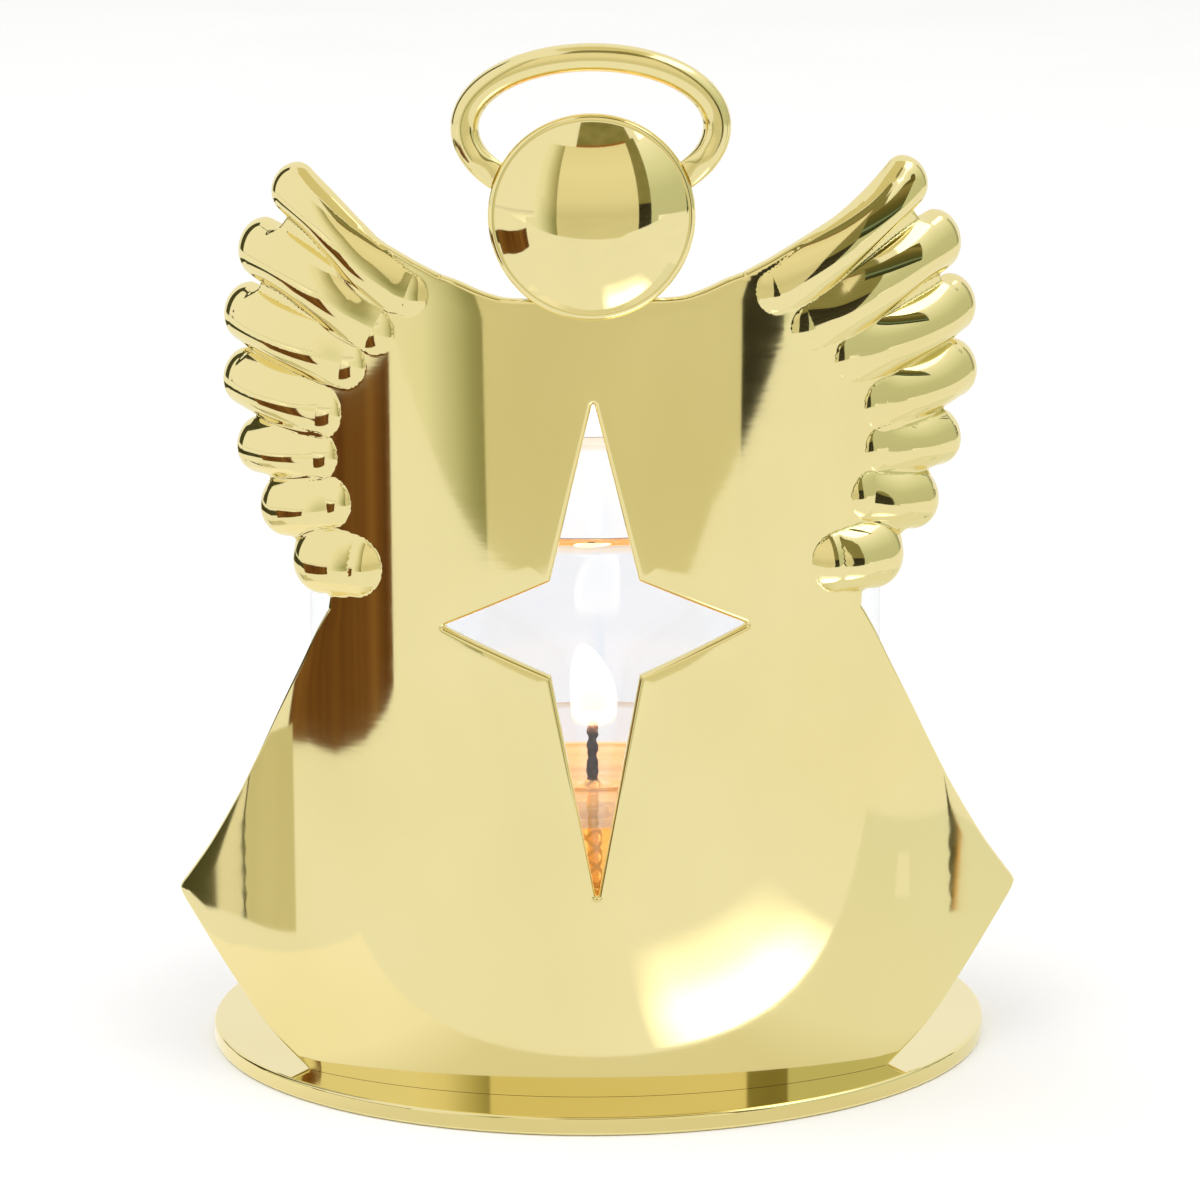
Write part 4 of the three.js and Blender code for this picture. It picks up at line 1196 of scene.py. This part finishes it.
def fade_mat(name, stops, axis):
    """Emission that changes along x, y or z (mm) or with the bearing ("az", degrees)."""
    m = Nodes(name)
    tc = m.add("ShaderNodeTexCoord")
    xyz = m.add("ShaderNodeSeparateXYZ", Vector=tc.outputs["Object"])
    if axis == "az":
        back = m.add("ShaderNodeMath", {"operation": "MULTIPLY_ADD"})
        m.tree.links.new(xyz.outputs["Y"], back.inputs[0])
        back.inputs[1].default_value, back.inputs[2].default_value = -1.0, -0.030
        turn = m.add("ShaderNodeMath", {"operation": "ARCTAN2"})
        m.tree.links.new(xyz.outputs["X"], turn.inputs[0])
        m.tree.links.new(back.outputs[0], turn.inputs[1])
        value, unit = turn.outputs[0], math.radians(1.0)
    else:
        value, unit = xyz.outputs[axis.upper()], MM
    lo, hi = stops[0][0], stops[-1][0]
    f = m.add("ShaderNodeMapRange", Value=value, From_Min=lo * unit, From_Max=hi * unit).outputs["Result"]
    tone = m.ramp(f, [((p - lo) / (hi - lo), c) for p, c in stops])
    e = m.add("ShaderNodeEmission", Color=tone)
    m.tree.links.new(e.outputs[0], m.out.inputs["Surface"])
    return m.mat


BRIGHT = card_mat("card_bright", (0.945, 0.945, 0.935), (0.985, 0.98, 0.965), 9.0)
BEIGE_LOW = card_mat("card_beige_low", (0.70, 0.67, 0.50), (0.77, 0.74, 0.57), 2.5)
OLIVE = card_mat("card_olive", (0.21, 0.195, 0.08), (0.30, 0.275, 0.13), 3.0)
BLACK = card_mat("card_black", (0.02, 0.018, 0.012), (0.06, 0.055, 0.035), 6.0)
BROWN = card_mat("card_brown", (0.075, 0.022, 0.004), (0.225, 0.105, 0.030), 55.0, (1, 1, 0.06))
RUST = card_mat("card_rust", (0.26, 0.09, 0.012), (0.36, 0.15, 0.03), 40.0, (1, 1, 0.1))
DARK = card_mat("card_dark", (0.035, 0.036, 0.016), (0.11, 0.105, 0.050), 30.0, (1, 1, 0.3))
PALE = card_mat("card_pale", (0.57, 0.60, 0.46), (0.63, 0.66, 0.52), 2.0)
KHAKI = card_mat("card_khaki", (0.60, 0.57, 0.40), (0.72, 0.69, 0.52), 40.0, (1, 1, 0.4))
ROSE = card_mat("card_rose", (0.80, 0.77, 0.67), (0.87, 0.84, 0.74), 30.0)
AMBER = card_mat("card_amber", (0.70, 0.36, 0.06), (0.85, 0.50, 0.12), 60.0)
TOP_TONE = card_mat("card_top", (0.68, 0.62, 0.38), (0.78, 0.72, 0.48), 1.5)
BEIGE = fade_mat("card_beige", [(0, (0.70, 0.665, 0.50)), (70, (0.74, 0.705, 0.535)), (190, (0.85, 0.81, 0.64)), (520, (0.92, 0.87, 0.71)), (980, (0.86, 0.81, 0.64))], "z")
LEFT_FADE = fade_mat("card_left_fade", [(-58, (0.95, 0.95, 0.90)), (-46, (0.88, 0.89, 0.80)), (-38, (0.60, 0.61, 0.46)), (-33, (0.38, 0.39, 0.235)), (-30, (0.30, 0.30, 0.155))], "az")
LEFT_HIGH = fade_mat("card_left_high", [(-50, (0.98, 0.97, 0.93)), (-42, (0.90, 0.89, 0.78)), (-34, (0.58, 0.56, 0.38)), (-29, (0.36, 0.345, 0.19))], "az")
NEAR = fade_mat("card_near", [(-80, (1.06, 1.03, 0.98)), (-38, (1.03, 1.00, 0.93)), (-22, (0.84, 0.81, 0.68)), (26, (0.80, 0.77, 0.62)), (44, (0.90, 0.89, 0.80)), (135, (0.86, 0.88, 0.83))], "x")

stage_mesh("card_bright", [(-1500, -300, 0.2)] + [(x, y, 0.2) for x, y in LOW_EDGE] + [(1500, -340, 0.2), (1500, 1500, 0.2), (-1500, 1500, 0.2)],
           [tuple(range(len(LOW_EDGE) + 4))], BRIGHT)
stage_quad("card_near", [(-77, -50, 0.3), (133, -50, 0.3), (133, 60, 0.3), (-77, 60, 0.3)], NEAR)
apron("card_ground_left", -58.0, -29.5, LEFT_FADE)
apron("card_ground", -29.5, 40.2, BEIGE_LOW)
apron("card_ground_right", 40.2, 52.0, BLACK)
apron("card_ground_pale", 52.0, 59.0, PALE)
# the left card's shade widens towards its foot
LEFT_TONES = [(-50, (0.98, 0.97, 0.93), (0.98, 0.97, 0.93)), (-46, (0.88, 0.89, 0.80), (0.94, 0.93, 0.86)), (-38, (0.60, 0.61, 0.46), (0.74, 0.725, 0.58)),
              (-33, (0.38, 0.39, 0.235), (0.54, 0.515, 0.345)), (-29, (0.30, 0.30, 0.155), (0.36, 0.345, 0.19))]
for _k, (_e0, _e1) in enumerate(((-8.0, -3.6), (-3.6, -1.4), (-1.4, 1.0), (1.0, 4.0), (4.0, 8.0))):
    _w = 1.0 - (_k + 0.5) / 5
    _band = fade_mat("card_left_band_%d" % _k, [(az, tuple(_w * a + (1.0 - _w) * b for a, b in zip(lo, hi))) for az, lo, hi in LEFT_TONES], "az")
    screen("card_side_left_%d" % _k, -50.0, -29.0, _e0, _e1, _band)
screen("card_side_left", -50.0, -29.0, 8.0, 44.0, LEFT_HIGH)
screen("card_front", -29.5, 40.2, -8.0, 44.5, BEIGE)
screen("card_right_low", 40.2, 52.0, -8.0, 3.0, BLACK)
screen("card_right", 40.2, 52.0, 3.0, 46.0, OLIVE)
PALE_HIGH = fade_mat("card_pale_high", [(0, (0.60, 0.63, 0.49)), (250, (0.63, 0.67, 0.53)), (420, (0.76, 0.80, 0.67)), (700, (0.95, 0.97, 0.92)), (900, (1.08, 1.09, 1.08))], "z")
GLOW = card_mat("card_glow", (2.3, 2.3, 2.25), (2.6, 2.6, 2.55), 2.0)
screen("card_right_pale", 52.0, 125.0, -8.0, 42.0, PALE_HIGH)
screen("card_glow_right", 58.0, 120.0, 43.0, 64.0, GLOW)
screen("card_upper_edge", -17.0, 44.0, 44.5, 46.0, RUST)
screen("card_upper", -17.0, 48.0, 46.0, 66.0, OLIVE)
stage_quad("card_top", [(-300, -500, 1400), (650, -500, 1400), (650, 250, 1400), (-300, 250, 1400)], TOP_TONE)
# side cards that give the metal its darker accents, and small flags by the right wing
_accent = [(-172, -22), (-169, -43), (-158, -66), (-154, -93), (-158, -120), (-163, -131)]
stage_mesh("card_accent", [(x, y, z) for x, y in _accent for z in (0.6, 44.0)], [(2 * k, 2 * k + 1, 2 * k + 3, 2 * k + 2) for k in range(len(_accent) - 1)], BROWN)
_line = [(-172, -22), (-186, 10), (-182, 52), (-160, 92), (-122, 128)]
stage_mesh("card_line", [(x, y, z) for x, y in _line for z in (21.0, 42.0)], [(2 * k, 2 * k + 1, 2 * k + 3, 2 * k + 2) for k in range(len(_line) - 1)], DARK)
screen("card_backdrop_left", -110.0, -132.0, -3.0, 52.0, DARK)
screen("card_backdrop_right", 116.0, 128.0, -4.0, 30.0, DARK)
_low = [(-46, -51), (-57, -38), (-64, -29)]
stage_mesh("card_low_left", [(x, y, z) for x, y in _low for z in (7.0, 17.0)], [(2 * k, 2 * k + 1, 2 * k + 3, 2 * k + 2) for k in range(len(_low) - 1)], BRIGHT)
FLAG = fade_mat("card_flag", [(83, (0.03, 0.035, 0.014)), (84.4, (0.05, 0.06, 0.03)), (85.2, (0.22, 0.30, 0.22)), (86.0, (0.08, 0.09, 0.04)), (90, (0.13, 0.115, 0.035)), (95, (0.28, 0.24, 0.10)), (97, (0.12, 0.10, 0.03)), (104, (0.2, 0.18, 0.07))], "z")
stage_quad("flag_right", [(31, -30.3, 83), (60, -26.5, 83), (60, -26.5, 104), (31, -30.3, 90)], FLAG)
# upright strips close to the gown's two tips
stage_quad("strip_left_khaki", [(-83.7, -22.9, 0.6), (-86.3, 1.2, 0.6), (-86.3, 1.2, 23), (-83.7, -22.9, 23)], KHAKI)
stage_quad("strip_left_line", [(-86.3, 1.2, 0.6), (-87.0, 2.2, 0.6), (-87.2, 2.5, 20), (-86.3, 1.2, 20)], DARK)
stage_quad("strip_left_rose", [(-87.1, 2.4, 0.6), (-89.6, 6.1, 0.6), (-89.6, 6.1, 22), (-87.1, 2.4, 22)], ROSE)
stage_quad("strip_left_dark", [(-89.6, 6.1, 0.6), (-96.0, 15.5, 0.6), (-96.0, 15.5, 22), (-89.6, 6.1, 22)], DARK)
stage_quad("strip_right_dark", [(86.9, 2.0, 0.6), (87.2, 2.45, 0.6), (87.75, 3.25, 9), (87.5, 2.9, 13.5), (86.7, 1.7, 17), (86.3, 1.1, 12), (86.5, 1.4, 6)], DARK)
stage_quad("strip_right_amber", [(87.2, 2.45, 0.6), (87.6, 3.0, 0.6), (88.1, 3.75, 9), (87.6, 3.05, 13.5), (87.75, 3.25, 9)], AMBER)
stage_quad("card_spot", [(97, -26, 0.45), (116, -25, 0.45), (116, -18, 0.45), (97, -18, 0.45)], BRIGHT)


def glow_mat():
    """A bright low patch: sharp along one side, fading away from it."""
    m = Nodes("floor_glow")
    tc = m.add("ShaderNodeTexCoord")
    xyz = m.add("ShaderNodeSeparateXYZ", Vector=tc.outputs["Object"])
    side = m.ramp(m.add("ShaderNodeMapRange", Value=xyz.outputs["X"], From_Min=0.010, From_Max=0.078).outputs["Result"],
                  [(0.0, (0, 0, 0)), (0.16, (1, 1, 1)), (0.62, (1, 1, 1)), (1.0, (0, 0, 0))])
    away = m.ramp(m.add("ShaderNodeMapRange", Value=xyz.outputs["Y"], From_Min=-0.090, From_Max=-0.050).outputs["Result"],
                  [(0.0, (0, 0, 0)), (0.45, (0.35, 0.35, 0.35)), (0.75, (1, 1, 1)), (1.0, (1, 1, 1))])
    both = m.add("ShaderNodeMath", {"operation": "MULTIPLY"})
    m.tree.links.new(side, both.inputs[0])
    m.tree.links.new(away, both.inputs[1])
    e = m.add("ShaderNodeEmission", Color=(1.0, 0.98, 0.94, 1.0), Strength=3.4)
    t = m.add("ShaderNodeBsdfTransparent")
    mix = m.add("ShaderNodeMixShader")
    m.tree.links.new(both.outputs[0], mix.inputs[0])
    m.tree.links.new(t.outputs[0], mix.inputs[1])
    m.tree.links.new(e.outputs[0], mix.inputs[2])
    m.tree.links.new(mix.outputs[0], m.out.inputs["Surface"])
    return m.mat


stage_quad("card_glow", [(8, -100, 0.7), (80, -100, 0.7), (80, -50, 0.7), (8, -50, 0.7)], glow_mat())


def soft_light(name, at, towards, size, watts, colour=(1, 1, 1)):
    d = bpy.data.lights.new(name, "AREA")
    d.shape, d.size, d.energy, d.color = "DISK", size, watts, colour
    ob = bpy.data.objects.new(name, d)
    ob.location = Vector(at)
    ob.rotation_euler = (Vector(towards) - Vector(at)).to_track_quat("-Z", "Y").to_euler()
    bpy.context.scene.collection.objects.link(ob)
    ob.visible_glossy = False
    return ob


soft_light("key", (0.55, -0.35, 1.15), (0.0, 0.0, 0.04), 0.7, 5.0, (1.0, 0.985, 0.96))
soft_light("front", (-0.45, -0.8, 0.9), (0.0, 0.0, 0.02), 0.8, 3.0, (1.0, 1.0, 1.0))
soft_light("fill", (-0.7, 0.25, 1.1), (0.0, 0.0, 0.04), 0.8, 4.0, (0.98, 0.99, 1.0))

world = bpy.data.worlds.new("studio")
bpy.context.scene.world = world
world.use_nodes = True
world.node_tree.nodes["Background"].inputs["Color"].default_value = (1.0, 0.995, 0.985, 1.0)
world.node_tree.nodes["Background"].inputs["Strength"].default_value = 0.97
bpy.context.scene.view_settings.view_transform = "Standard"
bpy.context.scene.view_settings.look = "None"
bpy.context.scene.cycles.max_bounces = 32
bpy.context.scene.cycles.transmission_bounces = 32
bpy.context.scene.cycles.glossy_bounces = 8
bpy.context.scene.cycles.transparent_max_bounces = 24

# ---- camera at the photograph's viewing angle ------------------------------------------
elev, roll, dist = math.radians(11.84), math.radians(-0.45), 0.608
target = Vector((0.000492, 0.0, 0.04317))
back = Vector((0.0, -math.cos(elev), math.sin(elev)))
right, up = Vector((1.0, 0.0, 0.0)), Vector((0.0, math.sin(elev), math.cos(elev)))
r2 = right * math.cos(roll) + up * math.sin(roll)
u2 = -right * math.sin(roll) + up * math.cos(roll)
cam_data = bpy.data.cameras.new("camera")
cam_data.sensor_width, cam_data.lens = 36.0, 6214.0 / 1200.0 * 36.0
cam_data.clip_start, cam_data.clip_end = 0.01, 20.0
cam = bpy.data.objects.new("camera", cam_data)
m = Matrix((r2, u2, back)).transposed().to_4x4()
m.translation = target + back * dist
cam.matrix_world = m
bpy.context.scene.collection.objects.link(cam)
bpy.context.scene.camera = cam
